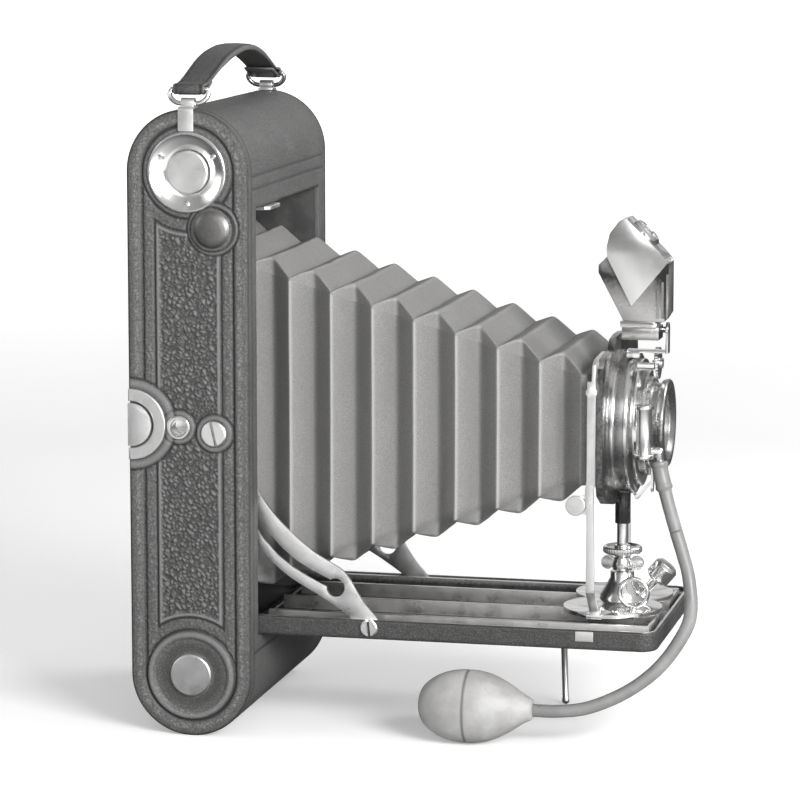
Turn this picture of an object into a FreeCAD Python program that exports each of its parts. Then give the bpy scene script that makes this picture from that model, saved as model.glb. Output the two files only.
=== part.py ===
import FreeCAD, Part
import math
import os

V = FreeCAD.Vector

# Folding roll-film camera, standing upright on its lower end with the bed open.
# Millimetres, +Z up, the lens looks along -Y, the end with the catch and tripod bush is at -X.
# The shapes are drawn about the middle of the body. The last step moves them along Y, so that the
# origin is on the ground under the middle of the whole camera.

# ---- body ---------------------------------------------------------------
BODY_H = 241.0
BODY_W = 121.0
BODY_T = 47.6
R = BODY_T / 2                      # round top and bottom of the body
Z_LOW = R                           # axis of the supply spool
Z_TOP = BODY_H - R                  # axis of the take-up spool
HALF_W = BODY_W / 2
LEATHER = 0.8                       # leather on the body wall
WALL = 1.2                          # aluminium body wall
END_LEATHER = 1.2
END_METAL = 1.8
PLATE_X = HALF_W - END_LEATHER      # outer face of an end plate
SHELL_X = PLATE_X - END_METAL       # end of the body wall
SPLIT_Y = 2.0                       # seam between the front shell and the back
REACH_Y = -191.36                   # foremost point, at the bend of the hose
TO_MIDDLE = -(REACH_Y + R) / 2      # from the body's middle to the middle of the whole

# ---- front opening and light box ----------------------------------------
OPEN_X = 48.0
OPEN_LOW = 38.0
OPEN_TOP = 203.0
BOX_WALL = 1.2
GATE_Y = 12.5                       # front face of the film gate
GATE_W = 82.5                       # picture size
GATE_H = 140.0
GATE_MID = (OPEN_LOW + OPEN_TOP) / 2
ROLLER_Y = 14.5
ROLLER_Z = (34.2, 206.8)            # guide rollers below and above the gate
ROLLER_PIN_R = 1.0
WINDOW_Z = 62.0                     # red window in the back
WINDOW_R = 5.0

# ---- spools --------------------------------------------------------------
SPOOL_HALF = 43.5
FLANGE_R = 12.3
CORE_R = 5.5
PIN_R = 2.4
RUN = 0.05                          # running clearance on the radius

# ---- end fittings ----------------------------------------------------------
BEZEL_R = 15.3
BUSH_R = 4.6
CATCH_STEM_R = 1.5
DISC_R = 8.1
BUTTON_YZ = (-9.9, 195.8)
BUTTON_R = 8.1
LATCH_YZ = (22.8, 120.6)
LATCH_R = 13.6
BUSH_YZ = (4.1, 119.9)
BUSH_HOLE_R = 3.175                 # quarter-inch tripod screw
BUSH_DEPTH = 8.0
PLUG_YZ = (-9.9, 117.9)
PLUG_SEAT_R = 5.0
PLUG_STEM_R = 2.0
LOOP_X = 57.0
LOOP_Z = BODY_H + 2.05               # axis of the strap loops
LOOP_HEIGHT = 5.2
WIRE_R = 0.9

# ---- bed -------------------------------------------------------------------
BED_HALF = 46.6
BED_FRONT = -178.0
BED_REAR = -17.0
BED_LOW = OPEN_LOW
BED_RIM = 45.7
BED_SKIN = 0.8
BED_PLATE = 1.4
RIM_T = 1.0
BED_FLOOR = BED_LOW + BED_SKIN + BED_PLATE
HINGE_YZ = (BED_REAR - 2.5, BED_LOW + 1.9)
HINGE_R = 0.7
BED_CATCH_Y = (-154.0, -147.0)
BED_CATCH_Z = (41.3, 45.2)
RAIL_X = (14.0, 37.0)
RAIL_TOP = (47.4, 46.3)
STRUT_X = (43.6, 44.8)
STRUT_FOOT = (-67.0, 42.6)
STRUT_HEAD = (-10.0, 105.0)
STRUT_SCREW_R = 1.5
STRUT_PIN_R = 1.8                   # pin through the upper end
STRUT_SLOT_R = 1.6
STRUT_HOLE = (-53.4, 57.4)          # round lower end of the slot
STRUT_HOLE_R = 3.6
LEG_XY = (24.0, -131.0)
LEG_PIVOT = (-129.8, 35.4)
LEG_PIN_R = 0.8

# ---- front standard ----------------------------------------------------------
AXIS_Z = 118.8                      # lens axis
BOARD_Y = (-156.0, -153.5)
ROD_Y = -157.3                      # axis of the rise screw
FRAME_X = (42.0, 43.2)
FRAME_Y = (-153.6, -150.4)
DECK_X = 33.0                       # carriage plate
DECK_Y = (-169.0, -143.0)
DECK_Z = (47.5, 49.1)
SHUTTER_R = 27.0
DRUM_R = 20.2                       # raised middle of the shutter
BARREL_R = 16.0
GLASS_R = 12.15
CYLINDER_X = 22.7                   # air cylinders on the shutter
CYLINDER_Y = -168.8
CYLINDER_R = 3.3
DIAL_Z = 142.0
KNOB_YZ = (-146.2, 92.7)
KNOB_STEM_R = 0.9
ROD_R = 2.2

# ---- finder --------------------------------------------------------------------
FINDER_X = (-14.5, -1.5)
FINDER_AXIS = (-8.0, 156.0)         # X and Z of the pivot, which runs along Y
FINDER_PIN_R = 1.2

AX_X = V(1, 0, 0)
AX_Y = V(0, 1, 0)
AX_Z = V(0, 0, 1)


# ---- shape helpers -----------------------------------------------------------
def box(x0, x1, y0, y1, z0, z1):
    return Part.makeBox(x1 - x0, y1 - y0, z1 - z0, V(x0, y0, z0))


def rod_x(x0, x1, y, z, r):
    return Part.makeCylinder(r, x1 - x0, V(x0, y, z), AX_X)


def rod_y(y0, y1, x, z, r):
    return Part.makeCylinder(r, y1 - y0, V(x, y0, z), AX_Y)


def rod_z(z0, z1, x, y, r):
    return Part.makeCylinder(r, z1 - z0, V(x, y, z0), AX_Z)


def link(start, end, r):
    """A round bar between two points."""
    run = end - start
    return Part.makeCylinder(r, run.Length, start, run)


def join(*shapes):
    whole = shapes[0].fuse(list(shapes[1:]))
    return whole.removeSplitter()


def group(*shapes):
    """Separate solids that share one node."""
    return Part.makeCompound([solid for shape in shapes for solid in shape.Solids])


def both_sides(shape):
    """The shape and its mirror image across the middle of the camera."""
    return group(shape, shape.mirror(V(0, 0, 0), AX_X))


def prism_x(points, x0, x1):
    """A Y-Z outline drawn out along X."""
    wire = Part.makePolygon([V(x0, y, z) for y, z in points + points[:1]])
    return Part.Face(wire).extrude(V(x1 - x0, 0, 0))


def prism_y(points, y0, y1):
    """An X-Z outline drawn out along Y."""
    wire = Part.makePolygon([V(x, y0, z) for x, z in points + points[:1]])
    return Part.Face(wire).extrude(V(0, y1 - y0, 0))


def curve_wire(points, plane_x):
    """A smooth closed wire through Y-Z points."""
    spline = Part.BSplineCurve()
    spline.interpolate([V(plane_x, y, z) for y, z in points], PeriodicFlag=True)
    return Part.Wire([spline.toShape()])


def turned(profile, centre, axis):
    """A body of revolution: profile is a list of (distance along axis, radius)."""
    side = V(0, 0, 1) if abs(axis.z) < 0.5 else V(0, 1, 0)
    side = (side - axis * side.dot(axis)).normalize()
    points = [centre + axis * along + side * radius for along, radius in profile]
    face = Part.Face(Part.makePolygon(points + points[:1]))
    return face.revolve(centre, axis, 360)


def stadium(r, x0, x1):
    """The body outline of radius r drawn out along X."""
    over = Part.Arc(V(x0, -r, Z_TOP), V(x0, 0, Z_TOP + r), V(x0, r, Z_TOP)).toShape()
    back = Part.makeLine(V(x0, r, Z_TOP), V(x0, r, Z_LOW))
    under = Part.Arc(V(x0, r, Z_LOW), V(x0, 0, Z_LOW - r), V(x0, -r, Z_LOW)).toShape()
    front = Part.makeLine(V(x0, -r, Z_LOW), V(x0, -r, Z_TOP))
    return Part.Face(Part.Wire([over, back, under, front])).extrude(V(x1 - x0, 0, 0))


def band(r_out, r_in, x0, x1):
    return stadium(r_out, x0, x1).cut(stadium(r_in, x0 - 1, x1 + 1))


def softened(shape, size):
    """Round every edge where the kernel can, otherwise leave the shape sharp."""
    try:
        rounded = shape.makeFillet(size, shape.Edges)
        return rounded if rounded.isValid() and rounded.Solids else shape
    except Part.OCCError:
        return shape


def knurled(y, z, x0, x1, r, teeth, depth):
    """A milled disc with its axis along X."""
    disc = rod_x(x0, x1, y, z, r)
    cutters = []
    for i in range(teeth):
        a = 2 * math.pi * i / teeth
        at_y = y + (r + depth * 0.4) * math.cos(a)
        at_z = z + (r + depth * 0.4) * math.sin(a)
        cutters.append(rod_x(x0 - 1, x1 + 1, at_y, at_z, depth))
    return disc.cut(cutters)


# ---- body ----------------------------------------------------------------------
def half_band(r_out, r_in, front):
    ring = band(r_out, r_in, -SHELL_X, SHELL_X)
    y0, y1 = (SPLIT_Y, 40) if front else (-40, SPLIT_Y)
    ring = ring.cut(box(-70, 70, y0, y1, -10, 260))
    if front:
        ring = ring.cut(box(-OPEN_X, OPEN_X, -40, -10, OPEN_LOW, OPEN_TOP))
    return ring


def window_hole():
    return rod_y(10, 40, 0, WINDOW_Z, WINDOW_R)


def body_shell():
    return half_band(R - LEATHER, R - LEATHER - WALL, True)


def body_leather():
    return half_band(R, R - LEATHER, True)


def back_cover():
    return half_band(R - LEATHER, R - LEATHER - WALL, False).cut(window_hole())


def back_leather():
    return half_band(R, R - LEATHER, False).cut(window_hole())


def red_window():
    return rod_y(R - LEATHER - WALL, R - 0.3, 0, WINDOW_Z, WINDOW_R)


def plate_holes(x0, x1):
    """Holes through the near end for its fittings."""
    return [rod_x(x0, x1, 0, Z_TOP, BEZEL_R),
            rod_x(x0, x1, 0, Z_LOW, DISC_R + 0.4),
            rod_x(x0, x1, *BUTTON_YZ, BUTTON_R + 0.3),
            rod_x(x0, x1, *BUSH_YZ, BUSH_R),
            rod_x(x0, x1, *PLUG_YZ, PLUG_SEAT_R),
            rod_x(x0, x1, *LATCH_YZ, LATCH_R)]


def end_plate_left():
    plate = stadium(R - LEATHER, -PLATE_X, -SHELL_X)
    holes = [rod_x(-61, -56, 0, Z_TOP, BEZEL_R),
             rod_x(-61, -56, 0, Z_LOW, PIN_R + RUN),
             rod_x(-61, -56, *BUTTON_YZ, 3.1),
             rod_x(-61, -56, *BUSH_YZ, BUSH_R),
             rod_x(-61, -56, *PLUG_YZ, PLUG_STEM_R),
             rod_x(-61, -56, LATCH_YZ[0] - 6, LATCH_YZ[1], CATCH_STEM_R + 0.1)]
    return plate.cut(holes)


def end_plate_right():
    plate = stadium(R - LEATHER, SHELL_X, PLATE_X)
    plate = plate.cut(rod_x(55, 61, 0, Z_TOP, PIN_R + RUN))
    stub = rod_x(SPOOL_HALF - 5, SHELL_X, 0, Z_LOW, PIN_R)
    return join(plate, stub)


def embossed_leather():
    """End leather with a raised outer bead and a second raised band."""
    base = stadium(R, -HALF_W + 0.6, -PLATE_X)
    bead = band(R - 0.3, 19.0, -HALF_W, -HALF_W + 0.6)
    inner = band(17.5, 13.5, -HALF_W + 0.1, -HALF_W + 0.6)
    return join(base, bead, inner)


def end_leather_left():
    return embossed_leather().cut(plate_holes(-62, -59))


def end_leather_right():
    leather = embossed_leather().mirror(V(0, 0, 0), AX_X)
    return leather.cut(rod_x(59, 62, 0, Z_TOP, 8.0))


def inner_frame():
    """Light box around the bellows, open at the front and at the film gate."""
    out_x = OPEN_X + BOX_WALL
    y0 = -(R - LEATHER - WALL)
    outer = box(-out_x, out_x, y0, GATE_Y, OPEN_LOW - BOX_WALL, OPEN_TOP + BOX_WALL)
    return outer.cut(box(-OPEN_X, OPEN_X, y0 - 1, GATE_Y + 1, OPEN_LOW, OPEN_TOP))


def film_gate():
    plate = box(-49.2, 49.2, GATE_Y, GATE_Y + 1.2, OPEN_LOW, OPEN_TOP)
    plate = plate.cut(box(-GATE_W / 2, GATE_W / 2, 0, 30, GATE_MID - GATE_H / 2, GATE_MID + GATE_H / 2))
    parts = [plate]
    for z, z0, z1 in ((ROLLER_Z[1], 201.0, 210.0), (ROLLER_Z[0], 31.0, 40.0)):
        for side in (-1, 1):
            x0, x1 = sorted((side * 47.5, side * 49.2))
            parts.append(box(x0, x1, GATE_Y, 17.8, z0, z1))
            x0, x1 = sorted((side * 41.0, side * 47.5))
            parts.append(rod_x(x0, x1, ROLLER_Y, z, ROLLER_PIN_R))
    return join(*parts)


def guide_roller(z):
    bore_r = ROLLER_PIN_R + RUN
    roller = rod_x(-47.0, 47.0, ROLLER_Y, z, 2.6)
    return roller.cut([rod_x(-48, -40.5, ROLLER_Y, z, bore_r), rod_x(40.5, 48, ROLLER_Y, z, bore_r)])


def pressure_plate():
    plate = box(-44, 44, 15.0, 16.0, 46, 195)
    springs = []
    for z0 in (70.0, 130.0):
        outline = [(16.0, z0), (21.2, z0 + 20), (21.2, z0 + 20.8), (16.0, z0 + 41),
                   (16.0, z0 + 39), (20.0, z0 + 20.4), (16.0, z0 + 2)]
        springs.append(prism_x(outline, -6, 6))
    return join(plate, *springs)


def spool(z):
    core = rod_x(-SPOOL_HALF, SPOOL_HALF, 0, z, CORE_R)
    flanges = [rod_x(x, x + 0.8, 0, z, FLANGE_R) for x in (-SPOOL_HALF, SPOOL_HALF - 0.8)]
    bores = [rod_x(-SPOOL_HALF - 1, -SPOOL_HALF + 7, 0, z, PIN_R + RUN),
             rod_x(SPOOL_HALF - 7, SPOOL_HALF + 1, 0, z, PIN_R + RUN)]
    return join(core, *flanges).cut(bores)


def winding_key():
    """Flat round-ended key on the take-up spool's shaft."""
    x0, x1, reach, half = 62.1, 63.7, 9.0, 4.4
    shaft = rod_x(SPOOL_HALF - 5, x0, 0, Z_TOP, PIN_R)
    collar = turned([(60.7, PIN_R - 1), (60.7, 7.6), (61.5, 7.6), (x0, 6.4), (x0, PIN_R - 1)],
                    V(0, 0, Z_TOP), AX_X)
    bow = join(box(x0, x1, -half, half, Z_TOP - reach, Z_TOP + reach),
               rod_x(x0, x1, 0, Z_TOP - reach, half),
               rod_x(x0, x1, 0, Z_TOP + reach, half))
    return join(shaft, collar, softened(bow, 0.4))


def top_bezel():
    """Dished ring around the upper pull pin, with three rivets."""
    dish = turned([(57.0, PIN_R + RUN), (57.0, BEZEL_R), (60.9, BEZEL_R), (61.2, 14.9), (61.2, 14.3),
                   (60.8, 13.8), (58.0, 8.8), (58.0, PIN_R + RUN)], V(0, 0, Z_TOP), V(-1, 0, 0))
    rivets = []
    circle_r = 11.6
    for angle in (60, 180, 300):
        a = math.radians(angle)
        y, z = circle_r * math.sin(-a), Z_TOP + circle_r * math.cos(a)
        rivets.append(rod_x(-60.5, -58.6, y, z, 0.8))
    return join(dish, *rivets)


def pull_pin(z, face_x):
    """Pin that holds a spool end, with a flat round head."""
    head = turned([(0.0, 1.0), (0.0, DISC_R), (1.2, DISC_R), (1.6, DISC_R - 0.5), (1.6, 0.0), (0.0, 0.0)],
                  V(-face_x + 1.6, 0, z), V(-1, 0, 0))
    shaft = rod_x(-face_x + 1.6, -SPOOL_HALF + 5, 0, z, PIN_R)
    return join(head, shaft)


def door_button():
    y, z = BUTTON_YZ
    rim = knurled(y, z, -61.6, -60.6, BUTTON_R, 36, 0.4)
    dome = turned([(60.4, 0.0), (60.4, 7.3), (61.8, 7.0), (62.7, 5.9), (63.3, 4.1), (63.6, 2.0), (63.7, 0.0)],
                  V(0, y, z), V(-1, 0, 0))
    stem = rod_x(-60.6, -54.0, y, z, 3.0)
    return join(rim, dome, stem)


def half_round(r_out, r_in, x0, x1):
    disc = rod_x(x0, x1, *LATCH_YZ, r_out)
    if r_in:
        disc = disc.cut(rod_x(x0 - 1, x1 + 1, *LATCH_YZ, r_in))
    return disc.common(box(-70, -50, -30, R, 90, 150))


def back_catch_ring():
    ring = half_round(LATCH_R, 9.0, -61.0, -PLATE_X)
    return softened(ring, 0.35)


def back_catch():
    disc = half_round(8.2, 0, -61.6, -60.4)
    stem = rod_x(-60.5, -56.0, LATCH_YZ[0] - 6, LATCH_YZ[1], CATCH_STEM_R)
    return join(disc, stem)


def tripod_bush():
    y, z = BUSH_YZ
    bush = turned([(52.0, 0.0), (52.0, BUSH_R), (60.6, BUSH_R), (60.9, 4.3), (60.9, 0.0)],
                  V(0, y, z), V(-1, 0, 0))
    return bush.cut(rod_x(-62, -60.9 + BUSH_DEPTH, y, z, BUSH_HOLE_R))


def slotted_head(y, z, x0, x1, r, tilt):
    """Cheese head with a slot, axis along X, facing -X."""
    head = turned([(-x1, 0.0), (-x1, r), (-x0 - 0.4, r), (-x0, r - 0.5), (-x0, 0.0)],
                  V(0, y, z), V(-1, 0, 0))
    slot = box(x0 - 0.5, x0 + 1.1, -0.5, 0.5, -r - 1, r + 1)
    slot.rotate(V(0, 0, 0), AX_X, tilt)
    slot.translate(V(0, y, z))
    return head.cut(slot)


def plug_screw():
    y, z = PLUG_YZ
    head = slotted_head(y, z, -61.4, -PLATE_X, PLUG_SEAT_R - 0.1, -13)
    return join(head, rod_x(-PLATE_X, -53.0, y, z, PLUG_STEM_R))


def strap_lug():
    """Nickel strip from the end face up over the edge, ending in an eye."""
    foot_z = Z_TOP + BEZEL_R + 0.2
    strip = prism_y([(-61.3, foot_z), (-60.6, foot_z), (-60.6, BODY_H + 0.05), (-54.6, BODY_H + 0.05),
                     (-54.6, BODY_H + 0.8), (-60.4, BODY_H + 0.8), (-61.3, BODY_H - 0.1)], -3.0, 3.0)
    eye = rod_y(-2.6, 2.6, -LOOP_X, LOOP_Z, 2.0).cut(rod_y(-4, 4, -LOOP_X, LOOP_Z, WIRE_R + RUN))
    return join(strip, eye)


def strap_lugs():
    return both_sides(strap_lug())


# ---- carrying strap -------------------------------------------------------------
def wire_loop(x):
    """D-shaped loop of round wire, its long side in the lug eye, with beaded corners."""
    lean = 1.6 if x < 0 else -1.6
    top = LOOP_Z + LOOP_HEIGHT
    corners = [V(x, -7.0, LOOP_Z), V(x, 7.0, LOOP_Z), V(x + lean, 6.0, top), V(x + lean, -6.0, top)]
    bars = [link(a, b, WIRE_R) for a, b in zip(corners, corners[1:] + corners[:1])]
    beads = [Part.makeSphere(WIRE_R + 0.12, point) for point in corners]
    return join(*bars, *beads)


def strap():
    """Arched leather handle."""
    end_x, side, low = 54.0, -6.0, LOOP_Z + LOOP_HEIGHT + 1.2
    high = low + 1.6
    peak = BODY_H + 20.0
    outer = Part.Arc(V(-end_x, side, high), V(0, side, peak), V(end_x, side, high)).toShape()
    inner = Part.Arc(V(end_x, side, low), V(0, side, peak - 2.6), V(-end_x, side, low)).toShape()
    ends = [Part.makeLine(V(end_x, side, high), V(end_x, side, low)),
            Part.makeLine(V(-end_x, side, low), V(-end_x, side, high))]
    outline = Part.Face(Part.Wire([outer, ends[0], inner, ends[1]]))
    return outline.extrude(V(0, -2 * side, 0))


# ---- bed ---------------------------------------------------------------------------
def rounded_slab(half_x, y0, y1, z0, z1, r):
    """A slab with its two front corners rounded in plan."""
    slab = box(-half_x, half_x, y0, y1, z0, z1)
    front = [e for e in slab.Edges
             if abs(e.Vertexes[0].Point.y - y0) < 1e-6 and abs(e.Vertexes[-1].Point.y - y0) < 1e-6
             and abs(e.Vertexes[0].Point.z - e.Vertexes[-1].Point.z) > 1]
    return slab.makeFillet(r, front)


def bed_well(y0):
    """The space inside the bed's rims."""
    return rounded_slab(BED_HALF - BED_SKIN - RIM_T, y0 + RIM_T, BED_REAR + 1, BED_FLOOR, BED_RIM + 3, 5.0)


def bed():
    y0 = BED_FRONT + BED_SKIN
    tray = rounded_slab(BED_HALF - BED_SKIN, y0, BED_REAR, BED_LOW + BED_SKIN, BED_RIM, 6.0)
    tray = tray.cut(bed_well(y0))
    screw_holes = rod_x(-50, 50, *STRUT_FOOT, STRUT_SCREW_R)
    return tray.cut([screw_holes, rod_x(-60, 60, *HINGE_YZ, HINGE_R)])


def bed_leather():
    tray = rounded_slab(BED_HALF, BED_FRONT, BED_REAR - 6, BED_LOW, BED_RIM - 0.6, 6.8)
    well = rounded_slab(BED_HALF - BED_SKIN, BED_FRONT + BED_SKIN, BED_REAR, BED_LOW + BED_SKIN,
                        BED_RIM + 1, 6.0)
    holes = [rod_x(-50, 50, *STRUT_FOOT, 3.5)]
    for side in (-1, 1):
        x0, x1 = sorted((side * 40, side * 50))
        holes.append(box(x0, x1, *BED_CATCH_Y, *BED_CATCH_Z).cut(box(-45, 45, -160, -140, 40, 46)))
    return tray.cut(well).cut(holes)


def bed_hinge_pin():
    return rod_x(-OPEN_X, OPEN_X, *HINGE_YZ, HINGE_R)


def bed_rails():
    """Track plate with its four raised rails."""
    y0, y1 = BED_FRONT + 4.0, BED_REAR - 8
    plate = box(-38.6, 38.6, y0, y1, BED_FLOOR, BED_FLOOR + 2.2)
    rails = []
    for x, top in zip(RAIL_X, RAIL_TOP):
        for side in (-1, 1):
            rails.append(box(side * x - 1.0, side * x + 1.0, y0, y1, BED_FLOOR + 2.2, top))
    well = bed_well(BED_FRONT + BED_SKIN)
    ledges = []
    stops = []
    for x in (-41.7, 41.7):
        ledges.append(box(x - 1.6, x + 1.6, -176.0, -79.0, BED_FLOOR, BED_FLOOR + 4.0).common(well))
    for x in (-25.5, 25.5):
        stops.append(box(x - 9.5, x + 9.5, y0, y0 + 1.2, BED_FLOOR + 2.2, 46.0))
    return group(join(plate, *rails, *stops).common(well), *ledges)


def bed_catches():
    plate = box(-46.9, -45.8, *BED_CATCH_Y, *BED_CATCH_Z)
    return both_sides(softened(plate, 0.3))


def strut_plate(x0, x1):
    """Curved brace with a long slot that ends in a round hole."""
    outer = [(-7.2, 111.0), (-13.5, 107.4), (-18.0, 103.0), (-22.6, 94.6), (-26.9, 88.0), (-30.8, 83.2),
             (-35.8, 78.3), (-41.6, 73.4), (-47.4, 69.4), (-52.9, 66.3), (-57.4, 63.2), (-60.7, 58.2),
             (-64.0, 52.9), (-67.2, 48.9), (-70.3, 44.6), (-70.0, 41.2), (-67.0, 40.4), (-63.4, 42.2),
             (-59.6, 45.8), (-55.1, 49.0), (-50.0, 52.4), (-44.6, 55.5), (-39.0, 58.6), (-34.0, 61.8),
             (-29.6, 65.4), (-25.1, 69.8), (-20.4, 76.4), (-13.6, 88.0), (-5.4, 103.4)]
    face = Part.Face(curve_wire(outer, x0))
    plate = face.extrude(V(x1 - x0, 0, 0))
    centres = (STRUT_HEAD, (-15.4, 94.6), (-20.4, 84.4), (-26.3, 76.2), (-31.6, 70.6), (-37.6, 65.8),
               (-44.1, 62.2), (-50.0, 59.4))
    slot_line = [V(x0, y, z) for y, z in centres]
    cutters = []
    for a, b in zip(slot_line, slot_line[1:]):
        run = b - a
        side = run.cross(AX_X).normalize() * STRUT_SLOT_R
        quad = Part.makePolygon([a + side, b + side, b - side, a - side, a + side])
        cutters.append(Part.Face(quad).extrude(V(x1 - x0, 0, 0)))
    cutters += [rod_x(x0, x1, p.y, p.z, STRUT_SLOT_R) for p in slot_line]
    cutters.append(rod_x(x0, x1, *STRUT_HOLE, STRUT_HOLE_R))
    cutters.append(rod_x(x0, x1, *STRUT_HEAD, STRUT_PIN_R + RUN))
    cutters.append(rod_x(x0, x1, *STRUT_FOOT, STRUT_SCREW_R))
    return plate.cut(cutters)


def strut_left():
    return strut_plate(-STRUT_X[1], -STRUT_X[0])


def strut_right():
    return strut_plate(STRUT_X[0], STRUT_X[1])


def strut_screws():
    """Slotted screws through the bed rims, and the pins that guide the upper ends."""
    y, z = STRUT_FOOT
    seat_x = -BED_HALF + BED_SKIN
    screw = join(slotted_head(y, z, -47.6, seat_x, 3.4, -6), rod_x(seat_x, -43.8, y, z, STRUT_SCREW_R))
    y, z = STRUT_HEAD
    pin = join(rod_x(-OPEN_X, -STRUT_X[1], y, z, 2.6), rod_x(-STRUT_X[1], -STRUT_X[0], y, z, STRUT_PIN_R))
    return both_sides(group(screw, pin))


def leg_bracket():
    x, _ = LEG_XY
    y, z = LEG_PIVOT
    plate = box(x - 5, x + 5, y - 5, y + 5, BED_LOW - 0.8, BED_LOW)
    ears = []
    for side in (-1, 1):
        x0, x1 = sorted((x + side * 2.3, x + side * 3.1))
        ears.append(join(box(x0, x1, y - 2.2, y + 2.2, z, BED_LOW - 0.8), rod_x(x0, x1, y, z, 2.2)))
    pin = rod_x(x - 3.1, x + 3.1, y, z, LEG_PIN_R)
    return join(plate, *ears, pin)


def support_leg():
    x, foot_y = LEG_XY
    y, z = LEG_PIVOT
    hub = rod_x(x - 2.2, x + 2.2, y, z, 1.8)
    shin = link(V(x, y, z), V(x, foot_y, 1.4), 1.25)
    foot = Part.makeSphere(1.5, V(x, foot_y, 1.5))
    return join(hub, shin, foot).cut(rod_x(x - 4, x + 4, y, z, LEG_PIN_R + RUN))


# ---- soft parts ----------------------------------------------------------------------
BELLOWS_REAR = 11.5
BELLOWS_FRONT = -151.5
PLEATS = 10
PLEAT_DEPTH = 6.0


def bellows_section(y, inset):
    """Half width, bottom and top of the bellows at depth y."""
    t = (BELLOWS_REAR - y) / (BELLOWS_REAR - BELLOWS_FRONT)
    half = 43.0 - 5.0 * t - inset
    low = 53.0 + 43.0 * t ** 1.25 + inset
    high = 182.0 - 38.0 * t ** 1.15 - inset
    return half, low, high


def bellows_skin(inset):
    wires = []
    steps = 2 * PLEATS
    for i in range(steps + 1):
        y = BELLOWS_REAR + (BELLOWS_FRONT - BELLOWS_REAR) * i / steps
        depth = inset + (PLEAT_DEPTH if i % 2 else 0.0)
        half, low, high = bellows_section(y, depth)
        corners = [V(-half, y, low), V(half, y, low), V(half, y, high), V(-half, y, high), V(-half, y, low)]
        wires.append(Part.makePolygon(corners))
    return Part.makeLoft(wires, True, True)


def bellows():
    return bellows_skin(0.0).cut(bellows_skin(0.9))


HOSE_PATH = [(-21.0, -174.6, 106.0), (-22.4, -176.6, 98.0), (-25.6, -182.0, 81.0),
             (-28.2, -187.4, 64.0), (-31.0, -188.8, 52.3), (-33.6, -186.7, 43.8),
             (-37.8, -178.5, 31.5), (-41.8, -167.0, 22.2), (-44.8, -153.0, 15.8),
             (-46.0, -141.0, 13.8), (-46.0, -131.4, 13.6)]
HOSE_R = 2.5
BULB = (-46.0, -107.4, 14.0)
BULB_R = 14.0


def hose():
    """Rubber tube from the shutter to the bulb."""
    spine = Part.BSplineCurve()
    spine.interpolate([V(*p) for p in HOSE_PATH])
    path = Part.Wire([spine.toShape()])
    start = V(*HOSE_PATH[0])
    ring = Part.Wire([Part.makeCircle(HOSE_R, start, spine.tangent(spine.FirstParameter)[0])])
    return path.makePipeShell([ring], True, True)


def bulb():
    """Pear-shaped squeeze bulb lying on the ground."""
    x, y, z = BULB
    profile = [(-21.0, 0.0), (-19.8, 5.6), (-15.8, 10.0), (-8.4, 13.3), (-1.0, BULB_R), (6.0, 13.1),
               (12.5, 10.4), (18.5, 6.7), (21.5, 4.9), (23.6, 3.6), (23.6, 0.0)]
    return turned([(-a, r) for a, r in profile], V(x, y, z), AX_Y)


# ---- carriage and frame ------------------------------------------------------------------
def carriage():
    """Sliding deck on the inner rails, with the post for the rise screw."""
    front, back = V(0, DECK_Y[0], DECK_Z[0]), V(0, DECK_Y[1], DECK_Z[0])
    arcs = [Part.Arc(front, V(-DECK_X, ROD_Y, DECK_Z[0]), back).toShape(),
            Part.Arc(back, V(DECK_X, ROD_Y, DECK_Z[0]), front).toShape()]
    deck = Part.Face(Part.Wire(arcs)).extrude(V(0, 0, DECK_Z[1] - DECK_Z[0]))
    bar = box(-34.0, 34.0, -155.0, -149.0, *DECK_Z)
    gibs = []
    for side in (-1, 1):
        x0, x1 = sorted((side * 15.1, side * 19.5))
        gibs.append(box(x0, x1, -165.0, -147.0, BED_FLOOR + 2.4, DECK_Z[0]))
    post = turned([(DECK_Z[1] - 0.2, 2.4), (DECK_Z[1] - 0.2, 9.0), (51.0, 8.4), (57.5, 4.6),
                   (60.0, 4.6), (60.0, 2.4)], V(0, ROD_Y, 0), AX_Z)
    places = ((-22, -152.5), (22, -152.5), (-12, -164), (12, -164), (-26, -159), (26, -159))
    screws = [rod_z(DECK_Z[1], DECK_Z[1] + 0.7, x, y, 1.5) for x, y in places]
    deck_and_post = join(deck, bar, post, clamp_seat(), *gibs, *screws)
    return group(deck_and_post, pull_ring())


def pull_ring():
    """Upright ring on a small foot."""
    ring = Part.makeTorus(5.4, 0.9, V(-20.0, -165.0, DECK_Z[1] + 6.4), AX_X)
    foot = rod_z(DECK_Z[1], 50.2, -20.0, -165.0, 1.6)
    return join(ring, foot)


CLAMP_BASE = V(0, -166.5, 52.5)
CLAMP_DIR = V(0, -0.64, 0.77)


def clamp_knob():
    """Thick milled knob on a slanting stem, which locks the carriage."""
    return turned([(0.0, 0.0), (0.0, 1.6), (6.0, 1.6), (6.0, 3.4), (7.2, 4.9), (12.6, 4.9),
                   (13.8, 3.8), (14.2, 0.0)], CLAMP_BASE, CLAMP_DIR)


def clamp_seat():
    """Slanting seat of the clamp knob, fixed to the deck."""
    seat = link(CLAMP_BASE - CLAMP_DIR * 6.0, CLAMP_BASE - CLAMP_DIR * 0.1, 2.4)
    return seat.cut(box(-6, 6, -180, -150, 40, DECK_Z[1]))


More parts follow.
